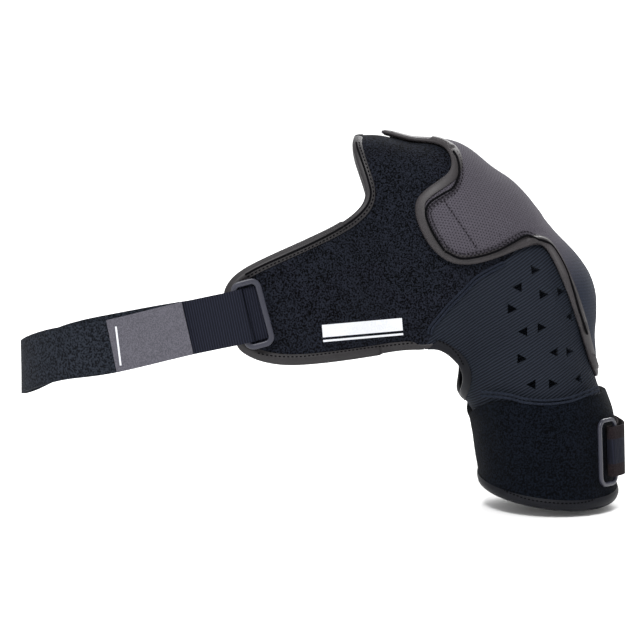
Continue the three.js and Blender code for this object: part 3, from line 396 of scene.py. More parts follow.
def honeycomb(name, colour, edge_colour, pitch):
    """Spacer mesh: a knit face with small round dimples on a three-way grid, one every 2.4 mm,
    between yarns of about 0.8 mm. Its outer side is a finely ribbed knit."""
    yarn, fine_rib = 0.8 * MM, 2.3 * MM
    material, tree, shader = new_material(name)
    coords = add(tree, "ShaderNodeTexCoord")
    place, flat = coords.outputs["Object"], coords.outputs["UV"]
    step, lean = pitch * math.sqrt(3) / 2, 0.3
    waves = [
        wave(tree, flat, (math.cos(a), math.sin(a), 0), step)
        for a in (lean, lean + math.pi / 3, lean + 2 * math.pi / 3)
    ]
    two = add(tree, "ShaderNodeMath", {"operation": "ADD"}, {0: waves[0], 1: waves[1]})
    dots = add(tree, "ShaderNodeMath", {"operation": "ADD"}, {0: two.outputs[0], 1: waves[2]})
    dimple = add(
        tree,
        "ShaderNodeMapRange",
        {"interpolation_type": "SMOOTHSTEP"},
        {"Value": dots.outputs[0], "From Min": 0.2, "From Max": 2.2},
    )
    grain = add(
        tree, "ShaderNodeTexNoise", inputs={"Vector": place, "Scale": 1 / yarn, "Detail": 3.0}
    )
    # The dimples fade out towards the outer side, where the cloth is pulled tight
    tight_from, tight_to, ribs_from, ribs_to = 30 * MM, 85 * MM, 95 * MM, 150 * MM
    spot = add(tree, "ShaderNodeSeparateXYZ", inputs={0: place})
    open_face = add(
        tree,
        "ShaderNodeMapRange",
        {"interpolation_type": "SMOOTHSTEP"},
        {
            "Value": spot.outputs["X"],
            "From Min": tight_from,
            "From Max": tight_to,
            "To Min": 1,
            "To Max": 0.12,
        },
    )
    dimpled = add(
        tree,
        "ShaderNodeMath",
        {"operation": "MULTIPLY"},
        {0: dimple.outputs[0], 1: open_face.outputs[0]},
    )
    spots = add(
        tree,
        "ShaderNodeMix",
        {"data_type": "RGBA"},
        {"Factor": dimpled.outputs[0], 6: rgba(colour, 1.12), 7: rgba(colour, 0.5)},
    )
    speck = add(
        tree,
        "ShaderNodeMapRange",
        inputs={
            "Value": grain.outputs["Fac"],
            "From Min": 0.3,
            "From Max": 0.7,
            "To Min": 0.78,
            "To Max": 1.2,
        },
    )
    worn = add(
        tree,
        "ShaderNodeVectorMath",
        {"operation": "SCALE"},
        {0: spots.outputs[2], "Scale": speck.outputs[0]},
    )
    # The face turns darker towards the lower outer part, with fine ribs
    side = add(
        tree,
        "ShaderNodeMath",
        {"operation": "MULTIPLY_ADD"},
        {0: spot.outputs["Z"], 1: -0.45, 2: spot.outputs["X"]},
    )
    fade = add(
        tree,
        "ShaderNodeMapRange",
        {"interpolation_type": "SMOOTHSTEP"},
        {"Value": side.outputs[0], "From Min": ribs_from, "From Max": ribs_to},
    )
    ribs = wave(tree, place, (0.1, 0, 1), fine_rib)
    rib_tone = add(
        tree,
        "ShaderNodeMapRange",
        inputs={"Value": ribs, "From Min": -1, "To Min": 0.8, "To Max": 1.2},
    )
    fine = add(
        tree,
        "ShaderNodeVectorMath",
        {"operation": "SCALE"},
        {0: edge_colour, "Scale": rib_tone.outputs[0]},
    )
    face = add(
        tree,
        "ShaderNodeMix",
        {"data_type": "RGBA"},
        {"Factor": fade.outputs[0], 6: worn.outputs[0], 7: fine.outputs[0]},
    )
    height = add(
        tree,
        "ShaderNodeMath",
        {"operation": "MULTIPLY_ADD"},
        {0: dimpled.outputs[0], 1: -1.2, 2: grain.outputs["Fac"]},
    )
    values = {"Roughness": 0.85, "Specular IOR Level": 0.12, "Sheen Weight": 0.03}
    cover(tree, shader, face.outputs[2], height.outputs[0], 0.6, 0.5 * MM, values)
    return material


def moulded(name, colour):
    """Moulded acetal: a satin surface with faint flow marks, some 5 mm long."""
    flow_mark = 5 * MM
    material, tree, shader = new_material(name)
    place = add(tree, "ShaderNodeTexCoord").outputs["Object"]
    flow = add(
        tree, "ShaderNodeTexNoise", inputs={"Vector": place, "Scale": 1 / flow_mark, "Detail": 4.0}
    )
    rough = add(
        tree,
        "ShaderNodeMapRange",
        inputs={"Value": flow.outputs["Fac"], "To Min": 0.28, "To Max": 0.46},
    )
    face = two_tone(tree, flow.outputs["Fac"], 0, 1, colour, 0.1)
    cover(tree, shader, face, flow.outputs["Fac"], 0.08, 0.2 * MM, {"IOR": 1.48})
    tree.links.new(rough.outputs[0], shader.inputs["Roughness"])
    return material


# Modelling


def only(obj):
    """Selects one object and nothing else."""
    bpy.ops.object.select_all(action="DESELECT")
    obj.select_set(True)
    bpy.context.view_layer.objects.active = obj


def select_none(kind):
    """Leaves nothing of the active mesh selected, edge by edge or face by face."""
    bpy.ops.object.mode_set(mode="EDIT")
    bpy.ops.mesh.select_mode(type=kind)
    bpy.ops.mesh.select_all(action="DESELECT")
    bpy.ops.object.mode_set(mode="OBJECT")


def modify(obj, kind, **values):
    """Adds a modifier, sets it and applies it."""
    only(obj)
    bpy.ops.object.modifier_add(type=kind)
    made = obj.modifiers[-1]
    for name, value in values.items():
        setattr(made, name, value)
    bpy.ops.object.modifier_apply(modifier=made.name)


def keep_values(obj, name, values):
    """Stores a value at each point, to be subdivided with the mesh."""
    kept = obj.data.attributes.new(name, "FLOAT", "POINT")
    kept.data.foreach_set("value", values.astype(np.float32))


def take_values(obj, name):
    """Reads the stored values and removes them from the mesh."""
    values = np.zeros(len(obj.data.vertices), np.float32)
    kept = obj.data.attributes[name]
    kept.data.foreach_get("value", values)
    obj.data.attributes.remove(kept)
    return values.astype(float)


def spots_of(obj):
    found = np.zeros(len(obj.data.vertices) * 3)
    obj.data.vertices.foreach_get("co", found)
    return found.reshape(-1, 3) / MM


def place_spots(obj, spots):
    obj.data.vertices.foreach_set("co", (spots * MM).astype(np.float32).ravel())
    obj.data.update()


MERGE = 0.02 * MM
RIM_ANGLE = math.radians(50)


def merged_copy(node, name):
    """A copy of a node's solid with its corners merged and its triangles paired to quads."""
    obj = bpy.data.objects.new(name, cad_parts[node].data.copy())
    bpy.context.scene.collection.objects.link(obj)
    obj.data.materials.clear()
    only(obj)
    bpy.ops.object.mode_set(mode="EDIT")
    bpy.ops.mesh.select_all(action="SELECT")
    bpy.ops.mesh.remove_doubles(threshold=MERGE)
    bpy.ops.mesh.tris_convert_to_quads(face_threshold=RIM_ANGLE, shape_threshold=math.radians(60))
    bpy.ops.object.mode_set(mode="OBJECT")
    return obj


def crease_rims(obj):
    """Keeps the rims of a wall crisp when it is subdivided."""
    only(obj)
    select_none("EDGE")
    bpy.ops.object.mode_set(mode="EDIT")
    bpy.ops.mesh.edges_select_sharp(sharpness=RIM_ANGLE)
    bpy.ops.transform.edge_crease(value=1.0)
    bpy.ops.object.mode_set(mode="OBJECT")


def subdivide(obj, levels):
    modify(obj, "SUBSURF", levels=levels, render_levels=levels)


def finish(obj, material, nodes=(), smooth=40):
    """Gives a piece its material, its shading and its place in the frame."""
    obj.data.materials.clear()
    obj.data.materials.append(material)
    only(obj)
    bpy.ops.object.shade_smooth_by_angle(angle=math.radians(smooth))
    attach(obj, BODY)
    if nodes:
        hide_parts(*nodes)


def ripple(spots, size, depth):
    """A slight unevenness of soft cloth, the same on each run."""
    a = np.sin(spots @ np.array([0.9, 1.7, 0.6]) / size + 0.7)
    b = np.sin(spots @ np.array([-1.3, 0.5, 1.1]) / size + 2.1)
    c = np.sin(spots @ np.array([0.3, -1.1, 1.9]) / size + 4.0)
    return depth * (a * b + b * c) / 2


# How far the worn flap sinks below its solid, in millimetres: all over, more at its lower tip,
# which lies on the cuff's top, and more at the shoulder's round
FLAP_SINK, TIP_SINK, ROUND_SINK = 1.5, 2.2, 1.7
TIP_START, TIP_RUN = 145, 30
ROUND_MIDDLE, ROUND_REACH = [60, 0, -34], [30, 40, 26]


def flap_drop(spots):
    """How far the flap sinks at each spot."""
    tip = np.clip((-spots[:, 2] - TIP_START) / TIP_RUN, 0, 1)
    tip = tip * tip * (3 - 2 * tip)
    at_round = np.exp(-np.sum(((spots - ROUND_MIDDLE) / ROUND_REACH) ** 2, axis=1))
    return FLAP_SINK + TIP_SINK * tip * (1 - at_round) + ROUND_SINK * at_round


def skin_sheet(node, name, levels, wave_size, wave_depth, is_flap=False):
    """A cloth wall on the skin: subdivided, and each point set at its height. The flap gets a flat
    map for its mesh pattern, and sinks."""
    obj = merged_copy(node, name)
    crease_rims(obj)
    spots = spots_of(obj)
    heights = skin_distance(spots)
    keep_values(obj, "height", heights)
    if is_flap:
        flatten(obj, heights)
    subdivide(obj, levels)
    heights = take_values(obj, "height")
    spots = spots_of(obj)
    if is_flap:
        heights = heights - flap_drop(spots)
    spots = settle(spots, heights)
    spots = spots + ripple(spots, wave_size, wave_depth)[:, None] * skin_normal(spots)
    place_spots(obj, spots)
    return obj


# A binding's roll, in millimetres: how far its outer face and its side bulge, how long an edge
# is at least that crosses the tape's side, and how near to a face a point belongs to it
FACE_BULGE, SIDE_BULGE, SIDE_EDGE, SHELL_NEAR = 1.3, 0.9, 2, 0.35


def roll_binding(obj, on_flap, puff):
    """Turns a folded tape into a round, padded roll: its outer face bulges between its edges."""
    spots = spots_of(obj)
    heights = skin_distance(spots)
    out = skin_normal(spots)
    outer_side = np.zeros(len(spots))
    for e in obj.data.edges:
        a, b = e.vertices
        way = spots[b] - spots[a]
        reach = np.linalg.norm(way)
        if reach > SIDE_EDGE and abs(way @ out[a]) > 0.8 * reach:
            outer_side[[a, b]] = 1
    middle = (heights.max() + heights.min()) / 2
    half = (heights.max() - heights.min()) / 2
    shell = (np.abs(heights - middle) > half - SHELL_NEAR).astype(float)
    keep_values(obj, "side", outer_side)
    keep_values(obj, "shell", shell)
    subdivide(obj, 3)
    side, shell = take_values(obj, "side"), take_values(obj, "shell")
    spots = spots_of(obj)
    normals = np.zeros(spots.size)
    obj.data.vertices.foreach_get("normal", normals)
    across = 4 * side * (1 - side)
    up = np.clip(1 - ((skin_distance(spots) - middle) / half) ** 2, 0, 1)
    bulge = puff * (FACE_BULGE * across + SIDE_BULGE * up * (side > 0.95))
    spots = spots + (bulge * (shell > 0.9))[:, None] * normals.reshape(-1, 3)
    if on_flap:
        spots = spots - flap_drop(spots)[:, None] * skin_normal(spots)
    place_spots(obj, spots)


def flatten(obj, heights):
    """Lays the outer face flat in a UV map, in metres, upright where it faces the front."""
    mesh = obj.data
    if not mesh.uv_layers:
        mesh.uv_layers.new(name="cloth")
    middle = (heights.min() + heights.max()) / 2
    low = heights < middle
    face_low = [all(low[v] for v in p.vertices) for p in mesh.polygons]
    sides = {}
    for p in mesh.polygons:
        for key in p.edge_keys:
            sides.setdefault(key, []).append(face_low[p.index])
    only(obj)
    select_none("EDGE")
    for e in mesh.edges:
        near = sides.get(tuple(sorted(e.vertices)), [])
        e.select = len(near) == 2 and near[0] != near[1]
    bpy.ops.object.mode_set(mode="EDIT")
    bpy.ops.mesh.mark_seam()
    bpy.ops.mesh.select_all(action="SELECT")
    bpy.ops.uv.unwrap(method="ANGLE_BASED", margin=0.01)
    bpy.ops.object.mode_set(mode="OBJECT")
    mesh = obj.data
    layer = mesh.uv_layers.active.data
    flat = np.zeros(len(layer) * 2)
    layer.foreach_get("uv", flat)
    flat = flat.reshape(-1, 2)
    corner = np.zeros(len(mesh.loops), int)
    mesh.loops.foreach_get("vertex_index", corner)
    real = spots_of(obj)[corner]
    use = np.zeros(len(corner), bool)
    area, drawn_area = 0.0, 0.0
    for p in mesh.polygons:
        if face_low[p.index]:
            continue
        rows = flat[p.loop_start : p.loop_start + p.loop_total]
        x, y = rows[:, 0], rows[:, 1]
        area += p.area
        drawn_area += abs(np.dot(x, np.roll(y, -1)) - np.dot(y, np.roll(x, -1))) / 2
        if p.normal.y < -0.6:
            use[p.loop_start : p.loop_start + p.loop_total] = True
    scale = math.sqrt(area / max(drawn_area, 1e-9))
    drawn = flat[use, 0] + 1j * flat[use, 1]
    seen = real[use, 0] + 1j * real[use, 2]
    drawn = drawn - drawn.mean()
    seen = seen - seen.mean()
    straight = np.sum(np.conj(drawn) * seen)
    turned = np.sum(drawn * seen)
    whole = flat[:, 0] + 1j * flat[:, 1]
    if abs(turned) > abs(straight):
        whole, straight = np.conj(whole), turned
    whole = whole * scale * straight / abs(straight)
    layer.foreach_set("uv", np.stack([whole.real, whole.imag], axis=1).astype(np.float32).ravel())


def new_piece(name, spots, sides):
    """An object from spots in millimetres and the faces between them."""
    mesh = bpy.data.meshes.new(name)
    mesh.from_pydata(np.vstack(spots) * MM, [], sides)
    mesh.update()
    obj = bpy.data.objects.new(name, mesh)
    bpy.context.scene.collection.objects.link(obj)
    return obj


def tube(name, rows, radius):
    """Round ridges along rows of spots, as one mesh with closed ends."""
    curve = bpy.data.curves.new(name, "CURVE")
    curve.dimensions = "3D"
    curve.bevel_depth = radius * MM
    curve.bevel_resolution = 2
    curve.use_fill_caps = True
    for row in rows:
        line = curve.splines.new("POLY")
        line.points.add(len(row) - 1)
        line.points.foreach_set("co", np.c_[row * MM, np.ones(len(row))].ravel())
    obj = bpy.data.objects.new(name, curve)
    bpy.context.scene.collection.objects.link(obj)
    only(obj)
    bpy.ops.object.convert(target="MESH")
    return bpy.context.view_layer.objects.active


# A stitch's length as a share of its step, and its height as a share of its width
STITCH_SHARE, STITCH_HEIGHT = 0.65, 0.8


def stitched(name, rows, width):
    """Rows of stitches: one small rounded stitch, copied from each spot of a row to the next."""
    bpy.ops.object.select_all(action="DESELECT")
    bpy.ops.mesh.primitive_uv_sphere_add(segments=8, ring_count=5, radius=0.5)
    one = bpy.context.view_layer.objects.active
    shape = np.array([v.co for v in one.data.vertices])
    faces = [list(p.vertices) for p in one.data.polygons]
    bpy.data.objects.remove(one)
    spots, sides = [], []
    for row in rows:
        middle = (row[1:] + row[:-1]) / 2
        way = row[1:] - row[:-1]
        reach = np.linalg.norm(way, axis=1)
        way = way / reach[:, None]
        out = skin_normal(middle)
        across = np.cross(out, way)
        for m, w, a, o, r in zip(middle, way, across, out, reach):
            base = len(spots) * len(shape)
            spots.append(
                m
                + shape[:, :1] * w * r * STITCH_SHARE
                + shape[:, 1:2] * a * width
                + shape[:, 2:] * o * width * STITCH_HEIGHT
            )
            sides += [[base + k for k in f] for f in faces]
    return new_piece(name, spots, sides)


def ring_frame(node):
    """Middle of a ring and its three ways, longest first, from the node's own corners."""
    spots = np.array([v.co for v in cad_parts[node].data.vertices]) / MM
    spots = np.unique(spots.round(3), axis=0)
    middle = spots.mean(0)
    _, _, ways = np.linalg.svd(spots - middle)
    reach = (spots - middle) @ ways.T
    middle = middle + ((reach.max(0) + reach.min(0)) / 2) @ ways
    if np.linalg.det(ways) < 0:
        ways[2] = -ways[2]
    return middle, ways, reach.max(0) - reach.min(0)


def tint(name, description, text):
    """A colour setting, with an sRGB hex value as its default."""
    return FloatVectorProperty(
        name=name, description=description, subtype="COLOR", default=linear(text)
    )


def measure(name, description, length):
    """A length setting, with a default in millimetres."""
    return FloatProperty(name=name, description=description, default=length * MM, unit="LENGTH")


class BraceSettings(bpy.types.PropertyGroup):
    """Sizes and colours that a user may change."""

    plush: tint("Plush", "Colour of the loop cloth on the front and back panels", "#111319")
    strap: tint("Strap", "Colour of the chest strap's loop cloth", "#1b1e24")
    cuff: tint("Cuff", "Colour of the arm cuff's cloth", "#070a10")
    knit: tint("Knit", "Colour of the ribbed shoulder panel", "#191d25")
    mesh: tint("Mesh", "Colour of the over-flap's spacer mesh", "#413e45")
    mesh_edge: tint("Mesh edge", "Colour of the over-flap's outer side", "#1c212d")
    binding: tint("Binding", "Colour of the bindings on the over-flap", "#2a2729")
    panel_binding: tint("Panel binding", "Colour of the bindings on the panels", "#201e20")
    hem: tint("Hem", "Colour of the bindings under the arm and round the cuff", "#111217")
    elastic: tint("Elastic", "Colour of the elastic web, the hook pad and the arm tab", "#161822")
    tab: tint("Hook tab", "Colour of the grey hook tab", "#4f4e55")
    plastic: tint("Ring", "Colour of the moulded rings", "#272833")
    tab_hem: tint("Tab hem", "Colour of the sewn ends of the arm tab", "#1f1a1c")
    # The thread colour also paints the dark lines of shade in the bindings' grooves
    thread: tint("Thread", "Colour of the thread on the panels and the cuff", "#050507")
    flap_thread: tint("Flap thread", "Colour of the thread on the over-flap", "#1d1b1f")
    seam_thread: tint("Seam thread", "Colour of the flat-locked seams", "#1c2029")
    print_white: tint("Print", "Colour of the printed bars and line", "#c9cbd0")
    stitch_length: measure("Stitch length", "Length from one stitch to the next", 3.2)
    stitch_width: measure("Stitch width", "Thickness of the sewing thread", 1.1)
    dot_pitch: measure("Dot pitch", "Distance between the mesh's dimples", 2.4)
    rib_pitch: measure("Rib pitch", "Distance between the knit's ribs", 2.1)


def settings():
    return bpy.context.scene.brace


class BRACE_OT_panels(bpy.types.Operator):
    """Makes the front and back panels of loop cloth"""

    bl_idname = "brace.panels"
    bl_label = "Front and back panels"

    def execute(self, context):
        cloth = plush("brushed loop cloth on neoprene", settings().plush)
        for node in ("front_panel", "back_panel"):
            obj = skin_sheet(node, f"{node}_cloth", 2, 13.0, 0.3)
            finish(obj, cloth, [node])
        return {"FINISHED"}


RIB_TURN = math.radians(33)
STRAP_TURN = math.radians(12)
WEB_PITCH = 1.9 * MM
TAB_HEM = 9 * MM


class BRACE_OT_knit(bpy.types.Operator):
    """Makes the pierced, ribbed shoulder panel"""

    bl_idname = "brace.knit"
    bl_label = "Ribbed shoulder panel"

    def execute(self, context):
        cloth = ribbed(
            "ribbed polyamide knit",
            settings().knit,
            (-math.sin(RIB_TURN), 0.0, math.cos(RIB_TURN)),
            settings().rib_pitch,
            relief=0.8,
            contrast=0.6,
        )
        obj = skin_sheet("ribbed_shoulder_panel", "ribbed_shoulder_cloth", 2, 9.0, 0.25)
        finish(obj, cloth, ["ribbed_shoulder_panel"])
        return {"FINISHED"}


class BRACE_OT_flap(bpy.types.Operator):
    """Makes the spacer mesh flap over the shoulder"""

    bl_idname = "brace.flap"
    bl_label = "Over-flap"

    def execute(self, context):
        cloth = honeycomb(
            "dimpled spacer mesh", settings().mesh, settings().mesh_edge, settings().dot_pitch
        )
        obj = skin_sheet("over_flap", "over_flap_mesh", 2, 15.0, 0.3, is_flap=True)
        finish(obj, cloth, ["over_flap"])
        return {"FINISHED"}


class BRACE_OT_cuff(bpy.types.Operator):
    """Makes the thick plush cuff round the upper arm"""

    bl_idname = "brace.cuff"
    bl_label = "Arm cuff"

    def execute(self, context):
        cloth = plush("thick loop cloth on neoprene", settings().cuff, grain=1.4, contrast=0.75)
        obj = skin_sheet("arm_cuff", "arm_cuff_cloth", 3, 9.0, 0.35)
        finish(obj, cloth, ["arm_cuff"])
        return {"FINISHED"}


class BRACE_OT_bindings(bpy.types.Operator):
    """Makes the sewn bindings round the edges"""

    bl_idname = "brace.bindings"
    bl_label = "Edge bindings"

    def execute(self, context):
        light = tape("folded nylon binding", settings().binding)
        dark = tape("folded nylon panel binding", settings().panel_binding)
        hem = tape("folded elastic binding", settings().hem, 0.12)
        for node, cloth, carrier in (
            ("front_edge_tape", dark, "front_panel"),
            ("back_edge_tape", dark, "back_panel"),
            ("flap_front_tape", light, "over_flap"),
            ("flap_back_tape", light, "over_flap"),
            ("armpit_edge_tape", hem, "ribbed_shoulder_panel"),
            ("cuff_hem_tape", hem, "arm_cuff"),
        ):
            obj = merged_copy(node, f"{node}_cloth")
            roll_binding(obj, node.startswith("flap"), 0.3 if cloth == hem else 1)
            finish(obj, cloth, [node], smooth=180)
        return {"FINISHED"}


class BRACE_OT_straps(bpy.types.Operator):
    """Makes the chest strap, the elastic web, the hook tab and the arm tab"""

    bl_idname = "brace.straps"
    bl_label = "Straps"

    def execute(self, context):
        cloth = plush("brushed loop strap", settings().strap, grain=1.5, contrast=0.7, relief=0.6)
        along = (math.cos(STRAP_TURN), 0.0, math.sin(STRAP_TURN))
        colour = settings().elastic
        web = ribbed("woven elastic web", colour, along, WEB_PITCH, 0.7, 0.55, wobble=0.05)
        # The arm tab turns from the front to the side, so its ribs stand across both
        loop = ribbed("woven tab web", colour, (0.5, 0.87, 0), WEB_PITCH, 0.7, 0.4, wobble=0.05)
        hem = plush("sewn tab hem", settings().tab_hem, grain=1.0, contrast=0.3, relief=0.4)
        hook = plush("moulded hook tape", settings().tab, grain=1.0, contrast=0.2, relief=0.3)
        for node, material, slot, carrier in (
            ("chest_strap", cloth, "plush_neoprene", "back_panel"),
            ("elastic_web", web, "black_webbing", "chest_ring"),
            ("hook_tab", hook, "black_webbing", "chest_strap"),
            ("hook_pad", web, "black_webbing", "front_panel"),
            ("arm_tab", loop, "black_webbing", "arm_cuff"),
        ):
            obj = merged_copy(node, f"{node}_cloth")
            crease_rims(obj)
            subdivide(obj, 2)
            finish(obj, material, [node])
            if node == "arm_tab":
                obj.data.materials.append(hem)
                low, high = (c.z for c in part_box(node))
                for p in obj.data.polygons:
                    p.material_index = int(not low + TAB_HEM < p.center.z < high - TAB_HEM)
        return {"FINISHED"}


# The rings' corner radius, the width of each one's bars and the roundness of their edges
RING_CORNER, RING_EDGE = 7.5 * MM, 1.15 * MM
RING_BARS = {"chest_ring": 4.3 * MM, "arm_ring": 3.2 * MM}


class BRACE_OT_rings(bpy.types.Operator):
    """Makes the two moulded rings"""

    bl_idname = "brace.rings"
    bl_label = "Rings"

    def execute(self, context):
        plastic = moulded("satin moulded acetal", settings().plastic)
        for node, bar in RING_BARS.items():
            middle, ways, reach = ring_frame(node)
            bpy.ops.object.select_all(action="DESELECT")
            bpy.ops.mesh.primitive_cube_add(size=1)
            obj = bpy.context.view_layer.objects.active
            obj.name = f"{node}_moulded"
            place_spots(obj, spots_of(obj) * MM * reach)
            select_none("EDGE")
            for e in obj.data.edges:
                a, b = (obj.data.vertices[v].co for v in e.vertices)
                e.select = abs(a.x - b.x) + abs(a.y - b.y) < 1e-6
            bpy.ops.object.mode_set(mode="EDIT")
            bpy.ops.mesh.bevel(offset=RING_CORNER, segments=8, affect="EDGES")
            select_none("FACE")
            for p in obj.data.polygons:
                p.select = abs(p.normal.z) > 0.9
            bpy.ops.object.mode_set(mode="EDIT")
            bpy.ops.mesh.inset(thickness=bar)
            bpy.ops.mesh.bridge_edge_loops()
            bpy.ops.mesh.select_all(action="SELECT")
            bpy.ops.mesh.normals_make_consistent(inside=False)
            bpy.ops.object.mode_set(mode="OBJECT")
            sharp = {"limit_method": "ANGLE", "angle_limit": RIM_ANGLE}
            modify(obj, "BEVEL", width=RING_EDGE, segments=4, **sharp)
            place_spots(obj, spots_of(obj) @ ways + middle)
            finish(obj, plastic, [node], smooth=30)
        return {"FINISHED"}


# Stitch rows and seams on the drawn grid: along the neck edge and the lower edge of the front
# panel, along the flap's edges and across it, along the armhole, and round the cuff's top and hem
NECK_ROW = [
    (360, 141), (361.5, 148), (371, 176), (374.5, 195), (367, 211.5), (348, 227.5), (315, 245.5),
    (265, 268), (247, 277.5),
]
BOTTOM_ROW = [
    (257, 351.5), (270, 354.3), (292, 355.6), (316, 353.8), (366, 347), (398, 343.2), (414, 341.5),
]
FLAP_ROWS = [
    [
        (455, 150), (459.5, 158), (461, 173), (455, 188), (446, 194), (431, 204), (428, 214),
        (435, 232), (446, 249),
    ],
    [(446, 249), (461, 256), (479.5, 254), (498, 248), (516.5, 238), (527.5, 233), (540.5, 238)],
    [
        (540.5, 237.5), (551, 241.5), (559.5, 252), (568.5, 269.5), (575.5, 290), (581, 309),
        (589, 333),
    ],
    [(443.4, 198), (460, 222), (477.6, 248)],
]
ARMHOLE_ROW = [
    (504, 263), (480, 276), (468, 287), (458, 297), (448, 307), (438, 319), (431, 328), (430, 334),
]
CUFF_ROW = [
    (481, 393), (496, 394), (511, 396), (526, 400), (548, 401.4), (570, 398.6), (588, 392),
    (598, 388),
]
HEM_ROW = [
    (480, 470), (489, 479), (503, 489), (522, 497), (541, 501), (567, 503), (588, 501), (601, 494),
    (608, 485),
]
# Where two tapes meet under the arm, and the stitches beyond
LAP_ROW = [(413, 344.8), (420, 345.4), (427, 345.4), (433, 344.2)]
ARMPIT_ROW = [(427, 341.5), (434, 340), (442, 341.5), (450, 346), (458, 354), (464, 365)]


def shifted(drawn, off):
    """The same drawn row, a little to one side."""
    drawn = np.array(drawn, float)
    way = np.gradient(drawn, axis=0)
    way /= np.linalg.norm(way, axis=1)[:, None]
    return drawn + off * np.stack([-way[:, 1], way[:, 0]], axis=1)


# How far from its drawn row each thread, painted groove shade or ridge runs, on the drawn grid
PANEL_STITCH_OFF, TWIN_STITCH_OFF = 0.8, -2.7
FLAP_GROOVE_SHADE_OFF, NECK_GROOVE_SHADE_OFF = 1.9, 3.6
ARMHOLE_SEAM_OFFS, CUFF_SEAM_OFFS = (-1.6, 1.6), (-1.5, 2.2)
# How a drawn row is divided before it is cast, and a ridge's step in millimetres
ROW_STEP, FINE_STEP, RIDGE_STEP = 6, 4, 2
# Heights over the face below, and radii, in millimetres
THREAD_RISE, HEM_THREAD_RISE, GROOVE_SHADE_SINK, FLAP_GROOVE_SHADE_SINK = 0.1, 0.2, 0.3, 0.1
GROOVE_SHADE_RADIUS, SEAM_RADIUS, LAP_RADIUS, LAP_HEIGHT = 0.9, 1.0, 2.2, 1.2


def row_on_skin(row, height, spacing, division=ROW_STEP):
    """A drawn row laid at a height over the skin, with its spots that far apart."""
    return smooth_row(cast(smooth_row(row, division), height), spacing)


def row_on_piece(row, obj, height, spacing, division=FINE_STEP):
    """A drawn row laid on a finished piece, with its spots that far apart."""
    return smooth_row(cast_on(smooth_row(row, division), obj, height), spacing)


def sew_stitches(step, width, tapes):
    """Sews the stitch rows of the panel, the flap, the cuff's hem and the armpit."""
    # This dark thread also makes the dark lines of painted shade in the bindings' grooves
    dark = plush("bonded dark thread and groove shade", settings().thread, 0.5, 0.2, 0.2)
    grey = plush("bonded grey thread", settings().flap_thread, 0.5, 0.2, 0.2)
    rows = [
        row_on_piece(shifted(r, PANEL_STITCH_OFF), tapes["front_edge"], THREAD_RISE, step, ROW_STEP)
        for r in (NECK_ROW, BOTTOM_ROW)
    ]
    finish(stitched("panel_stitches", rows, width), dark)
    twins = [shifted(r, TWIN_STITCH_OFF) for r in FLAP_ROWS[:2]]
    rows = [row_on_skin(r, FLAP_TOP, step) for r in (*FLAP_ROWS, *twins)]
    rows = [settle(r, FLAP_TOP + THREAD_RISE - flap_drop(r)) for r in rows]
    finish(stitched("flap_stitches", rows, width), grey)
    rows = [
        row_on_piece(HEM_ROW, tapes["cuff_hem"], HEM_THREAD_RISE, step),
        row_on_piece(ARMPIT_ROW, tapes["armpit_edge"], HEM_THREAD_RISE, step),
    ]
    finish(stitched("hem_stitches", rows, width), dark)
    return dark


def lay_groove_shade(dark, panel_tape):
    """Lays a dark line of painted shade in the groove that parts each roll from the cloth beside
    it.
    """
    rows = [row_on_skin(shifted(r, FLAP_GROOVE_SHADE_OFF), FLAP_TOP, RIDGE_STEP) for r in FLAP_ROWS[:3]]
    rows = [settle(r, FLAP_TOP + TAPE_RISE - FLAP_GROOVE_SHADE_SINK - flap_drop(r)) for r in rows]
    neck = shifted(NECK_ROW, NECK_GROOVE_SHADE_OFF)
    rows.append(row_on_piece(neck, panel_tape, -GROOVE_SHADE_SINK, RIDGE_STEP))
    finish(tube("edge_groove_shade", rows, GROOVE_SHADE_RADIUS), dark)


def raise_seams():
    """Raises the two ridges of the armhole seam and of the cuff's seam."""
    seam = plush("flat-locked seam thread", settings().seam_thread, 0.7, 0.35, 0.4)
    rows = [
        row_on_skin(shifted(row, off), height, RIDGE_STEP)
        for row, height, offs in (
            (ARMHOLE_ROW, PANEL_TOP, ARMHOLE_SEAM_OFFS), (CUFF_ROW, CUFF_TOP, CUFF_SEAM_OFFS)
        )
        for off in offs
    ]
    finish(tube("seam_ridges", rows, SEAM_RADIUS), seam)


class BRACE_OT_seams(bpy.types.Operator):
    """Sews the seams and stitch rows"""

    bl_idname = "brace.seams"
    bl_label = "Seams and stitches"

    def execute(self, context):
        tapes = {
            name: bpy.data.objects[f"{name}_tape_cloth"]
            for name in ("front_edge", "cuff_hem", "armpit_edge")
        }
        step = settings().stitch_length / MM
        dark = sew_stitches(step, settings().stitch_width / MM, tapes)
        # Dark lines of painted shade along the grooves beside the rolls
        lay_groove_shade(dark, tapes["front_edge"])
        row = row_on_skin(LAP_ROW, LAP_HEIGHT, RIDGE_STEP, FINE_STEP)
        lap = tube("tape_lap", [row], LAP_RADIUS)
        finish(lap, tapes["front_edge"].data.materials[0], smooth=180)
        raise_seams()
        return {"FINISHED"}


# The plain prints on the drawn grid, each corner in turn: a bar and a thin line on the front
# panel, and a line on the hook tab
FRONT_BARS = [
    [(322, 324.5), (402, 317.5), (403, 330), (323, 337)],
    [(323.2, 339.6), (403.2, 332.6), (403.4, 334.6), (323.4, 341.6)],
]
TAB_LINE = [(115.2, 326), (117, 326), (121.8, 365), (120, 365)]
# How high a print lies over its cloth, and how thick it is, in millimetres
PRINT_RISE, PRINT_THICKNESS = 0.12, 0.1
PRINT_COLUMNS, PRINT_ROWS = 25, 4


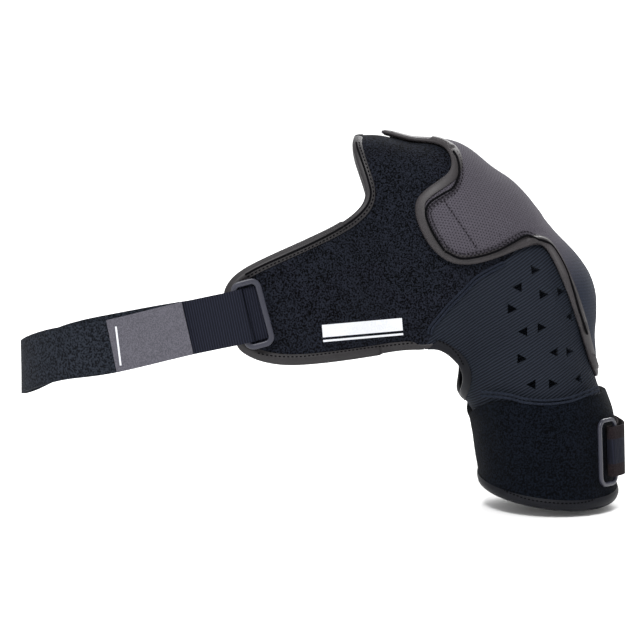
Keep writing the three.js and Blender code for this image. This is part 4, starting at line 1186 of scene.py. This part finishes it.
def printed(name, outlines, land, material):
    """Flat printed marks: outlines of four corners, gridded and laid on a cloth by `land`."""
    every, sides = [], []
    for k, outline in enumerate(outlines):
        a, b, c, d = np.array(outline, float)
        along = np.linspace(0, 1, PRINT_COLUMNS)[:, None]
        across = np.linspace(0, 1, PRINT_ROWS)
        drawn = [(a + (d - a) * t) * (1 - along) + (b + (c - b) * t) * along for t in across]
        every.append(land(np.vstack(drawn)))
        base = k * PRINT_COLUMNS * PRINT_ROWS
        for row in range(PRINT_ROWS - 1):
            for column in range(PRINT_COLUMNS - 1):
                low = base + row * PRINT_COLUMNS + column
                high = low + PRINT_COLUMNS
                sides.append([low, low + 1, high + 1, high])
    obj = new_piece(name, every, sides)
    modify(obj, "SOLIDIFY", thickness=PRINT_THICKNESS * MM, offset=0)
    finish(obj, material)


class BRACE_OT_print(bpy.types.Operator):
    """Lays the plain white bar and line on the front panel and the white line on the hook tab"""

    bl_idname = "brace.print"
    bl_label = "Printed bars"

    def execute(self, context):
        white = plush("white transfer print", settings().print_white, 0.7, 0.06, 0.1)
        tab = bpy.data.objects["hook_tab_cloth"]
        printed("front_print", FRONT_BARS, lambda drawn: cast(drawn, PANEL_TOP + PRINT_RISE), white)
        printed("tab_print", [TAB_LINE], lambda drawn: cast_on(drawn, tab, PRINT_RISE), white)
        return {"FINISHED"}


# The studio, in metres and watts: each lamp's name, place, aim, size and power. The far lamp
# lights the floor behind, so that it ends in white.
LAMPS = [
    ("key", (-0.4, -1.6, 2.0), (0, 0, -0.12), 0.8, 62),
    ("fill", (-1.7, -1.8, 0.3), (0, 0, -0.12), 1.0, 8),
    ("back", (0.6, 1.9, 1.7), (0, 0, -0.12), 1.4, 60),
    ("far", (0, 9, 4), (0, 9, -0.12), 12, 420),
]
WORLD_LIGHT = 0.75
FLOOR_RADIUS, FLOOR_DROP = 30, 0.004
SENSOR_WIDTH = 36


class BRACE_OT_stage(bpy.types.Operator):
    """Sets the floor, the lights and the camera"""

    bl_idname = "brace.stage"
    bl_label = "Stage"

    def execute(self, context):
        bpy.ops.object.select_all(action="DESELECT")
        bpy.ops.mesh.primitive_circle_add(
            vertices=64,
            radius=FLOOR_RADIUS,
            fill_type="NGON",
            location=(0, 0, CAD_BOX[0].z - FLOOR_DROP),
        )
        floor = bpy.context.view_layer.objects.active
        floor.name = "floor"
        material, _, shader = new_material("painted studio floor")
        shader.inputs["Base Color"].default_value = rgba(linear("#f8f8f8"))
        shader.inputs["Roughness"].default_value = 0.85
        floor.data.materials.append(material)
        world = bpy.data.worlds.new("studio")
        bpy.context.scene.world = world
        world.use_nodes = True
        sky = world.node_tree.nodes["Background"]
        sky.inputs["Color"].default_value = (1, 1, 1, 1)
        sky.inputs["Strength"].default_value = WORLD_LIGHT
        context.scene.view_settings.view_transform = "Standard"
        for name, spot, aim, size, power in LAMPS:
            light = bpy.data.lights.new(name, "AREA")
            light.size = size
            light.energy = power
            lamp = bpy.data.objects.new(name, light)
            lamp.location = spot
            way = Vector(aim) - Vector(spot)
            lamp.rotation_euler = way.to_track_quat("-Z", "Y").to_euler()
            bpy.context.scene.collection.objects.link(lamp)
        camera = bpy.data.cameras.new("camera")
        camera.sensor_width = SENSOR_WIDTH
        camera.lens = SENSOR_WIDTH * VIEW_AWAY / VIEW_WIDTH
        camera.clip_start, camera.clip_end = 0.1, 80
        eye = bpy.data.objects.new("camera", camera)
        eye.location = Vector(VIEWER * MM)
        eye.rotation_euler = Vector((AIM - VIEWER) * MM).to_track_quat("-Z", "Y").to_euler()
        bpy.context.scene.collection.objects.link(eye)
        bpy.context.scene.camera = eye
        return {"FINISHED"}


class BRACE_PT_panel(bpy.types.Panel):
    """Lists the brace's settings and pieces"""

    bl_idname = "BRACE_PT_panel"
    bl_label = "Shoulder brace"
    bl_space_type = "VIEW_3D"
    bl_region_type = "UI"
    bl_category = "Brace"

    def draw(self, context):
        for name in BraceSettings.__annotations__:
            self.layout.prop(context.scene.brace, name)
        for piece in STEPS:
            self.layout.operator(piece.bl_idname)


STEPS = (
    BRACE_OT_stage,
    BRACE_OT_panels,
    BRACE_OT_knit,
    BRACE_OT_flap,
    BRACE_OT_cuff,
    BRACE_OT_bindings,
    BRACE_OT_straps,
    BRACE_OT_rings,
    BRACE_OT_seams,
    BRACE_OT_print,
)


def register():
    for item in (BraceSettings, *STEPS, BRACE_PT_panel):
        bpy.utils.register_class(item)
    bpy.types.Scene.brace = PointerProperty(type=BraceSettings)


def unregister():
    del bpy.types.Scene.brace
    for item in (BRACE_PT_panel, *reversed(STEPS), BraceSettings):
        bpy.utils.unregister_class(item)


def main():
    register()
    bpy.ops.brace.stage()
    bpy.ops.brace.panels()
    bpy.ops.brace.knit()
    bpy.ops.brace.flap()
    bpy.ops.brace.cuff()
    bpy.ops.brace.bindings()
    bpy.ops.brace.straps()
    bpy.ops.brace.rings()
    bpy.ops.brace.seams()
    bpy.ops.brace.print()


if __name__ == "__main__":
    main()
